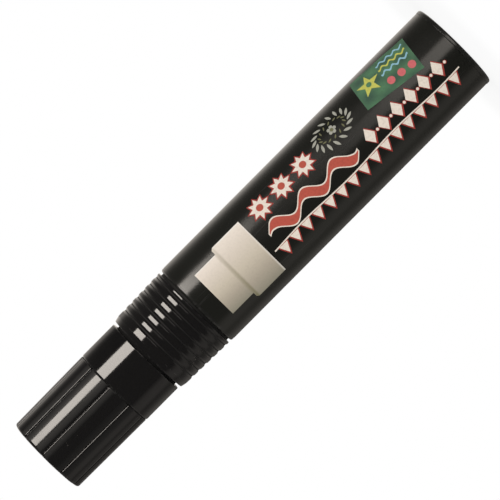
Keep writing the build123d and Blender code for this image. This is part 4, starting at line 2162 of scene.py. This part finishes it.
@dataclass
class Studio:
    """Camera, lamps, white surroundings and floor."""

    picture_width: float = 139.95  # Width that the picture shows at the marker
    distance: float = 1000.0  # From the camera to the marker's axis
    tail_angle: float = 45.17  # Above the picture's right, in degrees
    aside: float = 0.27  # Of the camera from the axis towards +X
    clip_end: float = 10.0  # How far the camera sees, in metres
    lamp_distance: float = 600.0  # Distance from the lamps to the axis
    floor_radius: float = 90.0
    floor_gap: float = 0.02  # Room between the floor and the tail
    floor_glow: float = 0.85  # White that the shadow can't reach
    glow_reach: Point = (0.55, 0.98)  # Shares of the radius where it fades to white
    floor_tones: tuple[Colour, Colour] = ((0.92, 0.92, 0.92), (0.9, 0.9, 0.9))
    floor_grain: float = 40.0  # Spots of its tones to a metre
    floor_roughness: float = 0.9
    ambient: float = 0.8  # Level of the even light
    gap_from: float = 0.6  # Share of the way round where the gap starts
    gap_start: Point = (0.02, 0.034)  # Upward slopes where reflected white fades
    gap_end: Point = (0.05, 0.06)  # Upward slopes where it comes back
    gap_fade: float = 0.45  # What stays of each level of white
    warm: Colour = (1.0, 0.93, 0.85)  # Colour of the light in reflections

    sensor = 36.0
    floor_sides = 128
    lamps = (
        Lamp("strip_lamp", 48.5, 107.0, 232.0, 315.0, 12.5),
        Lamp("tail_lamp", 16.0, -190.0, -15.0, 320.0, 2.95),
        Lamp("soft_lamp", 27.0, 300.0, 800.0, 500.0, 0.9, glossy=False),
    )
    surround = (
        (0.0, 0.15), (0.044, 0.15), (0.078, 0.2), (0.11, 0.25), (0.147, 0.21), (0.178, 0.15),
        (0.203, 0.12), (0.225, 0.26), (0.2444, 0.34), (0.2844, 0.33), (0.3028, 0.2), (0.32, 0.04),
        (0.5, 0.04), (0.7, 0.08), (0.78, 0.12), (0.815, 0.18), (0.833, 0.3), (0.847, 0.42),
        (0.861, 0.58), (0.877, 0.8), (0.895, 1.0), (1.0, 1.0),
    )

    def build(self) -> None:
        """Set the scene round the marker."""
        low, high = CAD_BOX
        self.camera((low + high) / 2)
        for lamp in self.lamps:
            self.light(lamp)
        self.world()
        self.floor(low.z)
        bpy.context.scene.view_settings.view_transform = "Standard"

    def camera(self, centre: Vector) -> None:
        """Look along +Y with the tail at the picture's upper right.

        Args:
            centre: Middle of the marker.
        """
        data = bpy.data.cameras.new("photo_camera")
        data.sensor_width = self.sensor
        data.lens = self.sensor * self.distance / self.picture_width
        data.clip_end = self.clip_end
        tail = math.radians(self.tail_angle)
        right = Vector((-math.sin(tail), 0.0, -math.cos(tail)))
        up = Vector((math.cos(tail), 0.0, -math.sin(tail)))
        back = Vector((0.0, -1.0, 0.0))
        camera = bpy.data.objects.new("photo_camera", data)
        place = centre + back * self.distance * MM + Vector((self.aside * MM, 0.0, 0.0))
        camera.matrix_world = Matrix.Translation(place) @ Matrix((right, up, back)).transposed().to_4x4()
        bpy.context.scene.collection.objects.link(camera)
        bpy.context.scene.camera = camera

    def light(self, lamp: Lamp) -> None:
        """Add a lamp, which the camera doesn't see.

        Args:
            lamp: The lamp.
        """
        data = bpy.data.lights.new(lamp.name, "AREA")
        data.shape = "RECTANGLE"
        data.size, data.size_y = lamp.width * MM, (lamp.high - lamp.low) * MM
        data.energy = lamp.radiance * math.pi * data.size * data.size_y
        data.color = self.warm if lamp.glossy else WHITE
        angle = math.radians(lamp.angle)
        way = Vector((math.sin(angle), -math.cos(angle), 0.0))
        light = bpy.data.objects.new(lamp.name, data)
        light.location = way * self.lamp_distance * MM + Vector((0.0, 0.0, (lamp.low + lamp.high) / 2 * MM))
        light.rotation_mode = "QUATERNION"
        light.rotation_quaternion = (-way).to_track_quat("-Z", "Y")
        light.visible_camera = False
        light.visible_glossy = lamp.glossy
        light.visible_diffuse = not lamp.glossy
        bpy.context.scene.collection.objects.link(light)

    def world(self) -> None:
        """Make white surroundings, dark behind the camera in reflections, with even light on the marker."""
        world = bpy.data.worlds.new("studio")
        world.use_nodes = True
        world.cycles.sampling_method = "NONE"
        bpy.context.scene.world = world
        graph = Graph(world.node_tree)
        x, y, z = graph.parted(graph.add("ShaderNodeTexCoord").outputs["Generated"])
        angle = graph.math("ARCTAN2", x, graph.times(y, -1.0))
        round_share = graph.times(angle, 1 / TURN, 0.5)
        level = graph.steps(round_share, self.surround)
        gap = graph.times(graph.span(z, *self.gap_start), graph.span(z, *self.gap_end, 1.0, 0.0))
        fade = graph.times(graph.math("GREATER_THAN", round_share, self.gap_from), gap)
        less = graph.times(level, self.gap_fade, -1.0)
        strength = graph.times(fade, less, 1.0)
        mirrored, white, even = (
            graph.put("ShaderNodeBackground", {"Color": opaque(colour), "Strength": power})[0]
            for colour, power in (
                (graph.mix(BLACK, self.warm, level), strength),
                (WHITE, 1.0),
                (WHITE, self.ambient),
            )
        )
        glossy = graph.add("ShaderNodeLightPath").outputs["Is Glossy Ray"]
        whole = graph.either(glossy, graph.either(graph.seen(), even, white), mirrored)
        graph.feed(world.node_tree.nodes["World Output"], {"Surface": whole})

    def floor(self, height: float) -> None:
        """Lay a white round floor under the tail that keeps a soft shadow.

        Args:
            height: Height of the tail face.
        """
        mesh = bpy.data.meshes.new("floor")
        edge = self.floor_radius * MM
        work = bmesh.new()
        bmesh.ops.create_circle(work, cap_ends=True, segments=self.floor_sides, radius=edge)
        bmesh.ops.translate(work, verts=work.verts, vec=(0, 0, height - self.floor_gap * MM))
        work.to_mesh(mesh)
        work.free()
        material = bpy.data.materials.new("White floor")
        material.use_nodes = True
        graph = Graph(material.node_tree)
        place = graph.surface()
        tone = graph.mix(*self.floor_tones, graph.noise(place, self.floor_grain))
        shader = graph.feed(
            material.node_tree.nodes["Principled BSDF"],
            {"Base Color": tone, "Roughness": self.floor_roughness, "Specular IOR Level": 0.0},
        )[0]
        glow = graph.add("ShaderNodeEmission").outputs[0]
        reach = graph.put("ShaderNodeVectorMath", {0: place}, operation="LENGTH")["Value"]
        share = graph.span(reach, *(edge * part for part in self.glow_reach), self.floor_glow, 1.0)
        whole = graph.either(graph.times(graph.seen(), share), shader, glow)
        graph.feed(material.node_tree.nodes["Material Output"], {"Surface": whole})
        mesh.materials.append(material)
        floor = add_object("floor", mesh)
        floor.visible_glossy = False
        floor.visible_shadow = False


def main() -> None:
    """Build every sub-assembly, then the studio."""
    logging.basicConfig(level=logging.INFO, format="%(name)s: %(message)s")
    for assembly in (Barrel(), GripCollar(), NibUnit(), Valve(), MixingBall(), Cap()):
        title = type(assembly).__name__
        for piece in assembly.build():
            bodies = ", ".join(body_of(piece))
            LOG.info("%s: %s, %d faces, rides %s", title, piece.name, len(piece.data.polygons), bodies)
    Studio().build()


if __name__ == "__main__":
    main()
